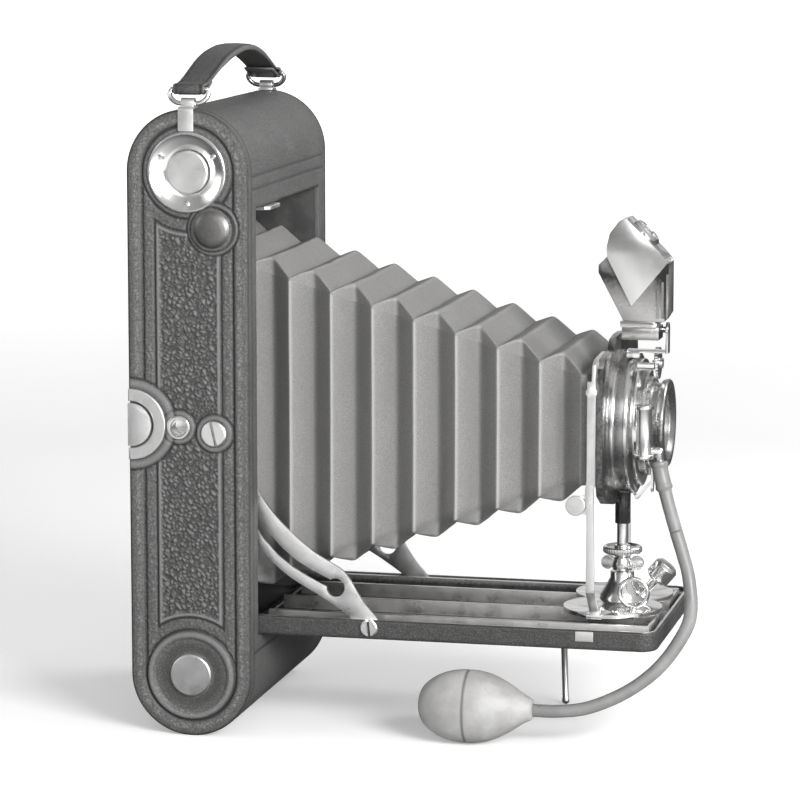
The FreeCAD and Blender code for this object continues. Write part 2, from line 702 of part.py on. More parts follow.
def u_frame():
    """Two side strips that carry the lens board, bent in along its upper edge."""
    x0, x1 = -FRAME_X[1], -FRAME_X[0]
    y0, y1 = FRAME_Y
    upright = prism_x([(-152.9, 100.0), (y0, 100.0), (y0, 140.0), (y1, 140.0), (y1, 102.5), (y1 + 0.6, 99.0),
                       (y1 + 0.6, 94.5), (y1, 92.0), (y1, 62.0), (y0, 62.0)], x0, x1)
    hook = [(x0, 62.5), (x1, 62.5), (x1, 60.2), (-32.4, 50.4), (-27.0, 50.4), (-27.0, DECK_Z[1]),
            (-33.0, DECK_Z[1]), (x0, 59.4)]
    foot = prism_y(hook, y0, y1)
    arch = prism_y([(x0, 139.0), (x1, 139.0), (-40.6, 145.2), (-37.5, 146.6), (-20.0, 147.5), (-20.0, 148.6),
                    (-38.0, 147.8), (-41.4, 146.2)], y0 + 0.2, y0 + 1.6)
    knuckle = rod_x(x0 - 0.3, x1, (y0 + y1) / 2, 136.0, 2.1)
    arm = prism_x([(-150.4, 97.0), (-143.2, 94.6), (-143.2, 90.6), (-150.4, 89.0)], -41.9, -41.0)
    web = box(x1 - 0.2, -41.0, -152.6, -150.4, 90.0, 96.5)
    stem_hole = rod_x(x0 - 3, 0, *KNOB_YZ, KNOB_STEM_R + RUN)
    return both_sides(join(upright, foot, arch, knuckle, arm, web).cut(stem_hole))


def side_knob(side):
    y, z = KNOB_YZ
    head = softened(rod_x(-43.4, -41.95, y, z, 3.8), 0.35)
    stem = rod_x(-42.0, -39.6, y, z, KNOB_STEM_R)
    knob = join(head, stem)
    return knob if side < 0 else knob.mirror(V(0, 0, 0), AX_X)


def wing_nut():
    hub = turned([(60.6, 2.3), (60.6, 3.8), (63.0, 3.8), (65.6, 3.0), (65.6, 2.3)], V(0, ROD_Y, 0), AX_Z)
    wings = []
    for side in (-1, 1):
        root_y, tip_y = ROD_Y + side * 2.9, ROD_Y + side * 5.6
        web = box(-0.9, 0.9, min(root_y, tip_y), max(root_y, tip_y), 61.2, 64.2)
        wings.append(join(rod_x(-0.9, 0.9, tip_y, 63.3, 2.7), web))
    return join(hub, *wings).cut(rod_z(58, 68, 0, ROD_Y, ROD_R + 0.1))


def rise_nut():
    """Milled disc nut, dished on top."""
    disc = turned([(66.2, 2.3), (66.2, 4.0), (67.2, 7.0), (67.8, 7.6), (69.4, 7.6), (69.9, 7.1),
                   (69.0, 5.4), (69.0, 3.2), (70.2, 3.0), (70.2, 2.3)], V(0, ROD_Y, 0), AX_Z)
    notches = []
    for i in range(40):
        a = 2 * math.pi * i / 40
        notches.append(rod_z(66, 71, 7.85 * math.cos(a), ROD_Y + 7.85 * math.sin(a), 0.4))
    return disc.cut(notches)


def rise_rod():
    return rod_z(54.5, 88.0, 0, ROD_Y, ROD_R)


# ---- lens board and shutter ---------------------------------------------------------------
def lens_board():
    """Black board with a raised centre at the top and a rounded lower edge."""
    right = [(17.0, 148.6), (37.0, 147.6), (41.0, 144.8), (41.8, 139.0), (41.8, 102.5), (39.5, 96.0),
             (30.0, 91.5)]
    left = [(-x, z) for x, z in reversed(right)]
    top = [(-13.0, 152.4), (-5.0, 153.2), (5.0, 153.2), (13.0, 152.4)]
    bottom = [(14.0, 88.6), (0.0, 87.6), (-14.0, 88.6)]
    board = prism_y(top + right + bottom + left, *BOARD_Y)
    socket = rod_z(79.0, 90.9, 0, ROD_Y, 3.0)
    frame = box(-36.0, 36.0, BOARD_Y[1], BELLOWS_FRONT - 0.2, 99.0, 138.2)
    frame = frame.cut(box(-32.0, 32.0, -160, -150, 102.5, 134.7))
    board = join(board, frame, socket)
    return board.cut([rod_y(-165, -150, 0, AXIS_Z, 13.0), rod_z(76, 88.0, 0, ROD_Y, ROD_R)])


def ring_y(y0, y1, r_out, r_in):
    """A flat ring round the lens axis."""
    return rod_y(y0, y1, 0, AXIS_Z, r_out).cut(rod_y(y0 - 1, y1 + 1, 0, AXIS_Z, r_in))


def shutter_case():
    """Round shutter housing with a stepped front."""
    return turned([(156.0, 13.1), (156.0, SHUTTER_R), (162.6, SHUTTER_R), (163.4, SHUTTER_R - 0.8),
                   (163.4, 24.4), (164.4, 23.8), (164.4, DRUM_R), (167.2, 19.6), (167.2, 13.1)],
                  V(0, 0, AXIS_Z), V(0, -1, 0))


def shutter_rings():
    """Nickel bands on the housing, the fixing collar and the two air cylinders."""
    rings = [ring_y(-157.4, -156.0, 27.9, SHUTTER_R), ring_y(-162.6, -161.2, 27.7, SHUTTER_R),
             ring_y(-165.3, -164.4, 24.6, 20.3), ring_y(-168.2, -167.2, 20.4, 13.2)]
    cylinders = []
    for x in (-CYLINDER_X, CYLINDER_X):
        tube = rod_z(109.5, 128.0, x, CYLINDER_Y, CYLINDER_R)
        caps = [rod_z(z, z + 1.4, x, CYLINDER_Y, CYLINDER_R + 0.6) for z in (108.4, 127.4)]
        clip = box(x - 2.0, x + 2.0, -166.0, -165.3, 115, 121).cut(rod_y(-170, -160, 0, AXIS_Z, DRUM_R + 0.2))
        cylinders.append(join(tube, *caps, clip))
    return group(*rings, *cylinders)


def lens_barrel():
    """Lens mount through the shutter, with a flared front rim."""
    front = turned([(168.2, GLASS_R + 0.05), (168.2, BARREL_R), (169.4, BARREL_R), (169.8, 15.4),
                    (172.2, 15.4), (172.6, 16.6), (174.7, 17.1), (175.3, 16.5), (175.3, 14.2),
                    (173.4, GLASS_R + 0.05)], V(0, 0, AXIS_Z), V(0, -1, 0))
    throat = ring_y(-168.2, -147.0, 12.9, GLASS_R + 0.05)
    return join(front, throat)


def lens_disc(y_front, y_back, r, bulge_front, bulge_back):
    """Glass disc with convex faces."""
    steps = 6
    points = []
    for i in range(steps + 1):
        share = i / steps
        points.append((-y_back - bulge_back * (1 - share ** 2), r * share))
    for i in range(steps, -1, -1):
        share = i / steps
        points.append((-y_front + bulge_front * (1 - share ** 2), r * share))
    return turned(points, V(0, 0, AXIS_Z), V(0, -1, 0))


def lens_glass():
    front = lens_disc(-171.4, -168.8, GLASS_R, 1.7, 0.0)
    rear = lens_disc(-151.0, -148.5, GLASS_R, 0.0, 1.2)
    return group(front, rear)


def iris():
    """Diaphragm leaves, closed to a middle stop."""
    leaves = []
    for i in range(8):
        a = math.radians(45 * i)
        y = -160.4 - 0.14 * i
        disc = rod_y(y, y + 0.1, 9.4 * math.cos(a), AXIS_Z + 9.4 * math.sin(a), 6.0)
        leaves.append(disc.common(rod_y(-165, -155, 0, AXIS_Z, GLASS_R - 0.05)))
    return group(*leaves)


def lever_y(y0, y1, centre, angle, r0, r1, width):
    """Flat lever in a plane across Y, at an angle from straight up."""
    bar = box(-width / 2, width / 2, y0, y1, r0, r1)
    tip = rod_y(y0, y1, 0, r1, width / 2)
    lever = join(bar, tip)
    lever.rotate(V(0, 0, 0), AX_Y, angle)
    lever.translate(V(0, 0, centre))
    return lever


def aperture_pointer():
    """Ring under the front collar with a forked pointer at the bottom."""
    ring = ring_y(-169.2, -168.3, 17.8, BARREL_R + 0.1)
    arm = lever_y(-169.2, -168.3, AXIS_Z, 180, 17.0, 25.5, 3.4)
    prong = prism_x([(-169.2, 96.0), (-168.3, 96.0), (-162.4, 90.0), (-162.2, 88.6), (-163.4, 88.6)],
                    -1.0, 1.0)
    brace = prism_x([(-162.2, 90.8), (-161.3, 90.8), (-162.6, 88.6), (-163.4, 88.6)], -1.0, 1.0)
    return join(ring, arm, prong, brace)


def speed_dial():
    """Setting dial above the lens, milled on its edge."""
    disc = rod_y(-171.2, -169.6, 0, DIAL_Z, 6.2)
    notches = 28
    cutters = []
    for i in range(notches):
        a = 2 * math.pi * i / notches
        cutters.append(rod_y(-172, -169, 6.5 * math.cos(a), DIAL_Z + 6.5 * math.sin(a), 0.45))
    hub = rod_y(-172.4, -171.2, 0, DIAL_Z, 2.0)
    shaft = rod_y(-169.6, -168.3, 0, DIAL_Z, 1.2)
    return join(disc.cut(cutters), hub, shaft)


def release_lever():
    """Hooked thumb lever on the near upper edge of the shutter."""
    lean, reach = -38, 31.0
    plate = lever_y(-166.2, -165.4, AXIS_Z, lean, 21.5, reach, 3.2)
    a = math.radians(lean)
    x, z = reach * math.sin(a), AXIS_Z + reach * math.cos(a)
    thumb = rod_y(-172.0, -165.4, x, z, 1.5)
    return join(plate, thumb)


def hose_nipple():
    """Inlet on the near air cylinder."""
    bend = V(-21.0, -174.3, 110.6)
    inlet = link(V(-CYLINDER_X, CYLINDER_Y, 111.2), bend, 1.9)
    outlet = link(bend, V(-21.0, -174.55, 107.1), 1.9)
    elbow = join(inlet, Part.makeSphere(2.0, bend), outlet)
    return elbow.cut(rod_z(109.5, 128.0, -CYLINDER_X, CYLINDER_Y, CYLINDER_R))


# ---- finder ----------------------------------------------------------------------------------
def finder_post():
    """Upright from the shutter to the finder pivot."""
    x, z = FINDER_AXIS
    foot = box(x - 3.0, x + 3.0, -165.0, -160.0, 145.2, 147.4).cut(rod_y(-170, -150, 0, AXIS_Z, 27.75))
    arm = box(x - 1.8, x + 1.8, -175.8, -160.0, 147.0, 148.2)
    stem = join(box(x - 2.6, x + 2.6, -175.8, -174.8, 147.0, z), rod_y(-175.8, -174.8, x, z, 2.9))
    pin = rod_y(-175.0, -171.0, x, z, FINDER_PIN_R)
    return join(foot, arm, stem, pin)


def finder_body():
    """Dark finder housing with its base, which turns on the pivot."""
    x0, x1 = FINDER_X
    base = box(x0 + 1.0, x1 - 1.0, -172.6, -158.4, 152.4, 157.4)
    housing = prism_x([(-159.2, 159.6), (-174.6, 159.6), (-176.4, 162.5), (-176.4, 182.0), (-172.0, 184.0),
                       (-152.6, 184.2), (-149.4, 181.0), (-149.4, 178.0)], x0, x1)
    fins = [box(x0 - 0.5, x0, -176.4 + 1.8 * i, -175.5 + 1.8 * i, 161.0, 178.0 - 3.0 * i) for i in range(3)]
    whole = join(base, housing, *fins)
    return whole.cut(rod_y(-173, -170, *FINDER_AXIS, FINDER_PIN_R + RUN))


def finder_band():
    x0, x1 = FINDER_X
    strap_plate = join(box(x0 - 0.6, x1 + 0.6, -171.0, -158.0, 157.4, 159.6),
                       rod_x(x0 - 0.6, x1 + 0.6, -171.0, 158.5, 1.1))
    screw = rod_x(x0 - 1.1, x0 - 0.6, -170.6, 158.5, 0.8)
    return join(strap_plate, screw)


def finder_hood():
    """Nickel hood, square to the line of sight at forty-five degrees, with a round viewing lens."""
    x0, x1 = FINDER_X[0] - 1.2, FINDER_X[1] + 1.2
    outline = [(-162.4, 165.6), (-176.2, 182.6), (-172.6, 186.6), (-160.2, 198.8), (-157.4, 198.0),
               (-153.8, 193.2), (-152.6, 188.0), (-152.8, 184.2)]
    shell = prism_x(outline, x0, x1).cut(box(*FINDER_X, -300, -100, 100, 184.2))
    normal = V(0, -0.707, 0.707)
    seat = V((x0 + x1) / 2, -166.2, 192.6)
    bezel = turned([(-1.5, 0.0), (-1.5, 6.2), (1.2, 6.2), (2.2, 5.2), (2.2, 4.4), (0.4, 4.2), (0.4, 0.0)],
                   seat, normal)
    return join(shell, bezel)


# ---- all nodes ----------------------------------------------------------------------------------
def all_nodes():
    return {
        "body_shell": body_shell(),
        "body_leather": body_leather(),
        "back_cover": back_cover(),
        "back_leather": back_leather(),
        "red_window": red_window(),
        "end_plate_left": end_plate_left(),
        "end_plate_right": end_plate_right(),
        "end_leather_left": end_leather_left(),
        "end_leather_right": end_leather_right(),
        "inner_frame": inner_frame(),
        "film_gate": film_gate(),
        "guide_roller_top": guide_roller(ROLLER_Z[1]),
        "guide_roller_bottom": guide_roller(ROLLER_Z[0]),
        "pressure_plate": pressure_plate(),
        "supply_spool": spool(Z_LOW),
        "take_up_spool": spool(Z_TOP),
        "winding_key": winding_key(),
        "top_bezel": top_bezel(),
        "spool_pin_top": pull_pin(Z_TOP, 60.2),
        "spool_pin_bottom": pull_pin(Z_LOW, 61.0),
        "door_button": door_button(),
        "back_catch_ring": back_catch_ring(),
        "back_catch": back_catch(),
        "tripod_bush": tripod_bush(),
        "strap_lugs": strap_lugs(),
        "strap_loop_left": wire_loop(-LOOP_X),
        "strap_loop_right": wire_loop(LOOP_X),
        "strap": strap(),
        "bed": bed(),
        "bed_leather": bed_leather(),
        "bed_hinge_pin": bed_hinge_pin(),
        "bed_rails": bed_rails(),
        "bed_catches": bed_catches(),
        "strut_left": strut_left(),
        "strut_right": strut_right(),
        "slotted_screws": group(plug_screw(), strut_screws()),
        "leg_bracket": leg_bracket(),
        "support_leg": support_leg(),
        "bellows": bellows(),
        "hose": hose(),
        "bulb": bulb(),
        "carriage": carriage(),
        "clamp_knob": clamp_knob(),
        "u_frame": u_frame(),
        "side_knob_left": side_knob(-1),
        "side_knob_right": side_knob(1),
        "wing_nut": wing_nut(),
        "rise_nut": rise_nut(),
        "rise_rod": rise_rod(),
        "lens_board": lens_board(),
        "shutter_case": shutter_case(),
        "shutter_fittings": group(shutter_rings(), hose_nipple(), finder_post()),
        "lens_barrel": lens_barrel(),
        "lens_glass": lens_glass(),
        "iris": iris(),
        "aperture_pointer": aperture_pointer(),
        "speed_dial": speed_dial(),
        "release_lever": release_lever(),
        "finder_body": finder_body(),
        "finder_hood": group(finder_band(), finder_hood()),
    }


os.makedirs("parts", exist_ok=True)
for name, shape in all_nodes().items():
    shape.translate(V(0, TO_MIDDLE, 0))
    shape.exportStep("parts/" + name + ".step")
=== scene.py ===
import math
import bmesh
import bpy
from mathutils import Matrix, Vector, noise


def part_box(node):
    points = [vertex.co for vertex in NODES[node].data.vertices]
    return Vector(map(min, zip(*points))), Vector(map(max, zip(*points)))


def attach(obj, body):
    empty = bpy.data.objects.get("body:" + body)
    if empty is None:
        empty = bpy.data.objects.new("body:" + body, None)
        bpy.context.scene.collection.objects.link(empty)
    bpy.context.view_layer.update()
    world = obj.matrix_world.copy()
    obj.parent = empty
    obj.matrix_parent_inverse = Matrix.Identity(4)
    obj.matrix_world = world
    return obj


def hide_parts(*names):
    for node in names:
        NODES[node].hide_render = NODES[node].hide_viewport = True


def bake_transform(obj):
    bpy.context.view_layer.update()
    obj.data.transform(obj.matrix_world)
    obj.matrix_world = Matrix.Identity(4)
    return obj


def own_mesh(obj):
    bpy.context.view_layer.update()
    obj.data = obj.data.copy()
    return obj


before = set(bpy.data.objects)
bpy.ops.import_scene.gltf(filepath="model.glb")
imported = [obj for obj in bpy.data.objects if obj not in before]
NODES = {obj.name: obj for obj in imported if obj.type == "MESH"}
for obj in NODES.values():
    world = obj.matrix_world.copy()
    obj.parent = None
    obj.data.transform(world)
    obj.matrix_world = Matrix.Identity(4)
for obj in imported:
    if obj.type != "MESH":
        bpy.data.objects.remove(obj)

noise.seed_set(7)       # without a seed, noise_vector() starts from the clock

# Folding roll-film camera. Sizes below are millimetres about the middle of the body, as in the CAD:
# X along the lens board's width, Y out of the back, Z up. at() turns them into the frame's metres.
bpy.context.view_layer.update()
MM = 0.001
FACE_LOW, FACE_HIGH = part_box("end_leather_left")
MIDDLE_Y = (FACE_LOW.y + FACE_HIGH.y) / 2
R = (FACE_HIGH.y - FACE_LOW.y) / 2 / MM         # round ends of the body
BODY_H = (FACE_HIGH.z - FACE_LOW.z) / MM
Z_LOW = R
Z_TOP = BODY_H - R
PLATE_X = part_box("end_plate_right")[1].x / MM   # metal end plates
WRAP_X = PLATE_X + 0.05                         # edge of the leather round the body
OPEN_X = 48.0
OPEN_LOW = 38.0
OPEN_TOP = 203.0


def at(x, y, z):
    return Vector((x * MM, MIDDLE_Y + y * MM, z * MM))


def clamp(value, low=0.0, high=1.0):
    return max(low, min(high, value))


def ease(value, start, end):
    """0 before start, 1 after end, smooth between them."""
    t = clamp((value - start) / (end - start))
    return t * t * (3 - 2 * t)


def bump_at(value, middle, half):
    """A rounded ridge of height 1 at middle, half wide on each side."""
    t = abs(value - middle) / half
    return math.sqrt(1 - t * t) if t < 1 else 0.0


def groove_at(value, middle, half):
    """A soft groove of depth 1 at middle."""
    t = abs(value - middle) / half
    return (1 - t * t) ** 2 if t < 1 else 0.0


# ---- materials ----
def blank_material(name):
    material = bpy.data.materials.new(name)
    material.use_nodes = True
    material.node_tree.nodes.clear()
    return material


def node(tree, kind, values=None, **settings):
    """A shader node. values maps an input to a number, a colour or another node's output."""
    made = tree.nodes.new(kind)
    for key, value in settings.items():
        setattr(made, key, value)
    for key, value in (values or {}).items():
        if isinstance(value, bpy.types.NodeSocket):
            tree.links.new(value, made.inputs[key])
        else:
            made.inputs[key].default_value = value
    return made


def place(tree, scale=(1.0, 1.0, 1.0)):
    """Object coordinates in millimetres, stretched by scale."""
    source = node(tree, "ShaderNodeTexCoord").outputs["Object"]
    factors = [1000.0 * s for s in scale]
    return node(tree, "ShaderNodeMapping", {"Vector": source, "Scale": factors}).outputs["Vector"]


def cloud(tree, where, size, detail=3.0, rough=0.5):
    """Noise between 0 and 1 whose blotches are about size millimetres."""
    made = node(tree, "ShaderNodeTexNoise",
                {"Vector": where, "Scale": 1.0 / size, "Detail": detail, "Roughness": rough})
    return made.outputs["Fac"]


def cells(tree, where, size, feature="DISTANCE_TO_EDGE"):
    made = node(tree, "ShaderNodeTexVoronoi", {"Vector": where, "Scale": 1.0 / size}, feature=feature)
    return made.outputs["Distance"]


def curve(tree, value, low, high, out_low, out_high):
    made = node(tree, "ShaderNodeMapRange", {"Value": value, "From Min": low, "From Max": high,
                                             "To Min": out_low, "To Max": out_high})
    return made.outputs["Result"]


def blend(tree, share, first, second):
    """Colour mix."""
    return node(tree, "ShaderNodeMix", {0: share, 6: first, 7: second}, data_type="RGBA").outputs[2]


def maths(tree, operation, first, second=0.0):
    return node(tree, "ShaderNodeMath", {0: first, 1: second}, operation=operation).outputs[0]


def product(tree, first, second):
    return maths(tree, "MULTIPLY", first, second)


def mixture(tree, first, second, share):
    """share of first and the rest of second."""
    return maths(tree, "ADD", product(tree, first, share), product(tree, second, 1 - share))


def painted(tree, name):
    """Values of a mesh attribute, 0 where the mesh has none."""
    return node(tree, "ShaderNodeAttribute", attribute_name=name).outputs["Fac"]


def relief(tree, height, depth, under=None):
    """Bump of depth millimetres."""
    values = {"Height": height, "Strength": 1.0, "Distance": depth * MM}
    if under is not None:
        values["Normal"] = under
    return node(tree, "ShaderNodeBump", values).outputs["Normal"]


def edge_wear(tree, start, end):
    """1 on sharp outer edges, broken up by noise."""
    sharp = node(tree, "ShaderNodeNewGeometry").outputs["Pointiness"]
    patchy = product(tree, cloud(tree, place(tree), 1.4), 0.02)
    return curve(tree, maths(tree, "ADD", sharp, patchy), start, end, 0.0, 1.0)


def surface(tree, colour, rough, normal=None, **more):
    values = {"Base Color": colour, "Roughness": rough}
    if normal is not None:
        values["Normal"] = normal
    for key, value in more.items():
        values[key.replace("_", " ")] = value
    shader = node(tree, "ShaderNodeBsdfPrincipled", values)
    node(tree, "ShaderNodeOutputMaterial", {"Surface": shader.outputs["BSDF"]})


def grey(value, warmth=0.0):
    tint = 0.4 * warmth
    return (value * (1 + tint), value, value * (1 - tint), 1.0)


def leather(name, tone, grain, depth, rough=0.5, tip_light=1.7, crease_shade=0.45):
    """Grained leather: pebbles of size grain, with painted shade in the creases and tips lighter in patches,
    partly wear and partly painted highlight. A mesh's shade attribute paints shade into its low places, and
    its attribute for worn and lit high places lightens them, partly as wear and partly as painted highlight."""
    material = blank_material(name)
    tree = material.node_tree
    where = place(tree)
    warp = node(tree, "ShaderNodeTexNoise", {"Vector": where, "Scale": 0.7 / grain, "Detail": 2.0})
    moved = node(tree, "ShaderNodeVectorMath", {0: warp.outputs["Color"], "Scale": grain * 0.9},
                 operation="SCALE")
    bent = node(tree, "ShaderNodeVectorMath", {0: where, 1: moved.outputs[0]}, operation="ADD").outputs[0]
    crease = curve(tree, cells(tree, bent, grain), 0.02, 0.24, 0.0, 1.0)
    fine = cloud(tree, where, 0.22, 4.0)
    patch = cloud(tree, where, 14.0, 4.0)
    pore = curve(tree, cells(tree, where, 0.42, "F1"), 0.0, 0.5, 0.0, 1.0)
    height = mixture(tree, crease, pore, 0.7)
    # Painted shade: the creases between the pebbles are darker.
    lit = blend(tree, crease, grey(tone * crease_shade, 0.04), grey(tone, 0.03))
    # Tips lighter in patches: partly wear, partly painted highlight.
    worn_and_lit_tips = curve(tree, product(tree, patch, maths(tree, "ADD", crease, 0.4)), 0.45, 0.9, 0.0, 0.5)
    lit = blend(tree, worn_and_lit_tips, lit, grey(tone * tip_light, 0.03))
    lit = blend(tree, painted(tree, "shade"), lit, grey(tone * 0.22, 0.04))
    # Lightening of worn and lit high places from the mesh: partly wear, partly painted highlight.
    bright = product(tree, painted(tree, "rub"), curve(tree, fine, 0.3, 0.7, 0.45, 1.0))
    lit = blend(tree, bright, lit, grey(tone * tip_light * 1.5, 0.02))
    shine = curve(tree, mixture(tree, patch, fine, 0.5), 0.3, 0.75, rough - 0.1, rough + 0.16)
    surface(tree, lit, shine, relief(tree, fine, 0.03, relief(tree, height, depth)), Specular_IOR_Level=0.45)
    return material


def metal(name, tone, warmth=0.012, rough=0.16, tarnish=0.35, brush=(1.0, 1.0, 9.0)):
    """Plated metal with hairline scratches, faint tarnish and bright rubbed edges."""
    material = blank_material(name)
    tree = material.node_tree
    where = place(tree)
    hair = cloud(tree, place(tree, brush), 0.5, 5.0, 0.6)
    film = cloud(tree, where, 6.0, 4.0, 0.6)
    spot = curve(tree, cells(tree, where, 1.6, "F1"), 0.02, 0.12, 1.0, 0.0)
    spotted = product(tree, spot, curve(tree, cloud(tree, where, 4.0), 0.5, 0.62, 0.0, 0.5))
    dull = curve(tree, film, 0.42, 0.78, 0.0, tarnish)
    colour = blend(tree, dull, grey(tone, warmth), grey(tone * 0.55, warmth * 2.2))
    colour = blend(tree, spotted, colour, grey(tone * 0.35, warmth * 2))
    colour = blend(tree, edge_wear(tree, 0.53, 0.62), colour, grey(min(0.97, tone * 1.2), warmth))
    shine = curve(tree, mixture(tree, film, hair, 0.6), 0.3, 0.72, rough * 0.6, rough * 1.8)
    surface(tree, colour, shine, relief(tree, hair, 0.008), Metallic=1.0)
    return material


def paint(name, tone, rough=0.3, bare=0.45, chips=0.58, peel=0.012):
    """Black enamel with dust, orange peel and edges worn to the metal."""
    material = blank_material(name)
    tree = material.node_tree
    where = place(tree)
    skin = cloud(tree, where, 0.5, 3.0)
    dust = cloud(tree, where, 9.0, 6.0, 0.65)
    worn = edge_wear(tree, chips, chips + 0.05)
    scratch = curve(tree, cloud(tree, place(tree, (1.0, 0.12, 3.0)), 0.6, 3.0), 0.68, 0.74, 0.0, 0.25)
    dusty = curve(tree, dust, 0.45, 0.85, 0.0, 0.5)
    colour = blend(tree, dusty, grey(tone, 0.02), grey(tone * 2.6 + 0.02, 0.03))
    colour = blend(tree, scratch, colour, grey(tone * 4 + 0.05))
    colour = blend(tree, worn, colour, grey(bare, 0.04))
    shine = curve(tree, dust, 0.35, 0.75, rough * 0.7, rough * 1.7)
    surface(tree, colour, shine, relief(tree, skin, peel), Metallic=product(tree, worn, 0.9),
            Coat_Weight=0.25, Coat_Roughness=0.12)
    return material


def rubber(name, tone, rough=0.5):
    """Aged grey rubber with bloom, scuffs and mould flow."""
    material = blank_material(name)
    tree = material.node_tree
    where = place(tree)
    bloom = cloud(tree, where, 11.0, 5.0, 0.6)
    grit = cloud(tree, where, 0.35, 4.0, 0.7)
    scuff = curve(tree, cloud(tree, place(tree, (0.3, 1.4, 1.0)), 1.5, 4.0), 0.62, 0.72, 0.0, 0.35)
    bloomed = curve(tree, bloom, 0.35, 0.7, 0.0, 1.0)
    colour = blend(tree, bloomed, grey(tone * 0.82, 0.03), grey(tone * 1.12, 0.02))
    colour = blend(tree, scuff, colour, grey(tone * 0.6, 0.04))
    colour = blend(tree, painted(tree, "shade"), colour, grey(tone * 0.35, 0.03))
    shine = curve(tree, bloom, 0.3, 0.7, rough - 0.12, rough + 0.14)
    surface(tree, colour, shine, relief(tree, grit, 0.02), Specular_IOR_Level=0.5)
    return material


def glass(name, tone, rough=0.02):
    material = blank_material(name)
    tree = material.node_tree
    smear = cloud(tree, place(tree), 5.0, 4.0)
    surface(tree, tone, curve(tree, smear, 0.4, 0.8, rough, rough + 0.12),
            relief(tree, smear, 0.004), Transmission_Weight=0.9, IOR=1.52)
    return material


def wood(name):
    material = blank_material(name)
    tree = material.node_tree
    where = place(tree, (0.08, 1.0, 1.0))
    ring = cloud(tree, where, 1.2, 5.0, 0.6)
    colour = blend(tree, ring, (0.30, 0.19, 0.10, 1), (0.52, 0.37, 0.22, 1))
    surface(tree, colour, curve(tree, ring, 0.2, 0.8, 0.4, 0.65), relief(tree, ring, 0.05))
    return material


def thread(name, tone):
    material = blank_material(name)
    tree = material.node_tree
    twist = node(tree, "ShaderNodeTexWave", {"Vector": place(tree), "Scale": 2.2, "Distortion": 1.0},
                 bands_direction="DIAGONAL").outputs["Fac"]
    colour = blend(tree, twist, grey(tone * 0.5, 0.06), grey(tone, 0.06))
    surface(tree, colour, curve(tree, twist, 0.0, 1.0, 0.85, 0.7), relief(tree, twist, 0.06))
    return material


# Each finish with the values that its function takes after the name.
FINISHES = {
    leather: {
        "seal_leather": (0.095, 1.1, 0.07, 0.50, 1.45, 0.7),
        "wrap_leather": (0.105, 0.95, 0.05, 0.52, 1.5, 0.6),
        "bed_leather": (0.06, 1.0, 0.08, 0.5, 1.3, 0.6),
        "strap_leather": (0.075, 0.8, 0.05, 0.45, 2.0),
        "pleat_leather": (0.20, 0.7, 0.022, 0.55, 1.35, 0.8),
    },
    metal: {
        "nickel": (0.86,),
        "satin_nickel": (0.82, 0.012, 0.34, 0.3),
        "gunmetal": (0.44, 0.01, 0.24, 0.45),
        "dull_nickel": (0.62, 0.05, 0.34, 0.6),
        "steel": (0.45, 0.0, 0.35, 0.3),
        "bronze": (0.20, 0.03, 0.42, 0.6, (1.0, 1.0, 1.0)),
        "sheet": (0.25, 0.0, 0.5, 0.5),
    },
    paint: {
        "black": (0.012,),
        "gloss_black": (0.016, 0.2, 0.5, 0.56),
        "dark_bed": (0.03, 0.32, 0.6, 0.55),
        "matt_black": (0.06, 0.6, 0.2, 0.9),
    },
    rubber: {"rubber": (0.36,), "hose_rubber": (0.2, 0.42)},
    glass: {"optical": ((0.93, 0.95, 0.96, 1),), "ruby": ((0.45, 0.02, 0.02, 1),)},
    wood: {"wood": ()},
    thread: {"thread": (0.10,)},
}
MATERIALS = {name: make(name, *values)
             for make, table in FINISHES.items() for name, values in table.items()}


# ---- mesh helpers ----
def recalculate(piece, weld=0.0):
    """Turn the faces outward. Points nearer than weld millimetres are joined first."""
    bm = bmesh.new()
    bm.from_mesh(piece.data)
    if weld:
        bmesh.ops.remove_doubles(bm, verts=bm.verts, dist=weld * MM)
        loose = [v for v in bm.verts if not v.link_faces]
        bmesh.ops.delete(bm, geom=loose, context="VERTS")
    bmesh.ops.recalc_face_normals(bm, faces=bm.faces)
    bm.to_mesh(piece.data)
    bm.free()


def new_piece(name, points, faces, material, attributes=None, weld=0.0):
    """A mesh piece from millimetre points. attributes maps a name to one value per point."""
    mesh = bpy.data.meshes.new(name)
    mesh.from_pydata([at(*p) for p in points], [], faces)
    mesh.polygons.foreach_set("use_smooth", [True] * len(mesh.polygons))
    for key, values in (attributes or {}).items():
        layer = mesh.attributes.new(key, "FLOAT", "POINT")
        layer.data.foreach_set("value", values)
    mesh.update()
    piece = bpy.data.objects.new(name, mesh)
    bpy.context.scene.collection.objects.link(piece)
    mesh.materials.append(MATERIALS[material])
    recalculate(piece, weld)
    return piece


def grid_faces(rows, columns, closed=False, skip=None):
    """Faces of a grid of points stored row by row. closed joins the last column to the first."""
    faces = []
    across = columns if closed else columns - 1
    for i in range(rows - 1):
        for j in range(across):
            if skip and skip(i, j):
                continue
            k = (j + 1) % columns
            faces.append((i * columns + j, i * columns + k, (i + 1) * columns + k, (i + 1) * columns + j))
    return faces


def steps(start, end, size):
    """Evenly spaced values from start to end, about size apart."""
    count = max(1, round(abs(end - start) / size))
    return [start + (end - start) * i / count for i in range(count + 1)]


def through(stops, size):
    """Evenly spaced values that land on every stop."""
    values = [stops[0]]
    for a, b in zip(stops, stops[1:]):
        values += steps(a, b, size)[1:]
    return values


def tube(points, radii, sides=24):
    """Points and faces of a round tube along a path of Vectors, closed at both ends."""
    side = Vector((1, 0, 0))
    verts = []
    count = len(points)
    for i, point in enumerate(points):
        along = (points[min(i + 1, count - 1)] - points[max(i - 1, 0)]).normalized()
        side = (side - along * side.dot(along)).normalized()
        up = along.cross(side)
        for k in range(sides):
            a = 2 * math.pi * k / sides
            verts.append(tuple(point + (side * math.cos(a) + up * math.sin(a)) * radii[i]))
    faces = grid_faces(count, sides, closed=True)
    faces.append(tuple(range(sides)))
    faces.append(tuple(reversed(range((count - 1) * sides, count * sides))))
    return verts, faces


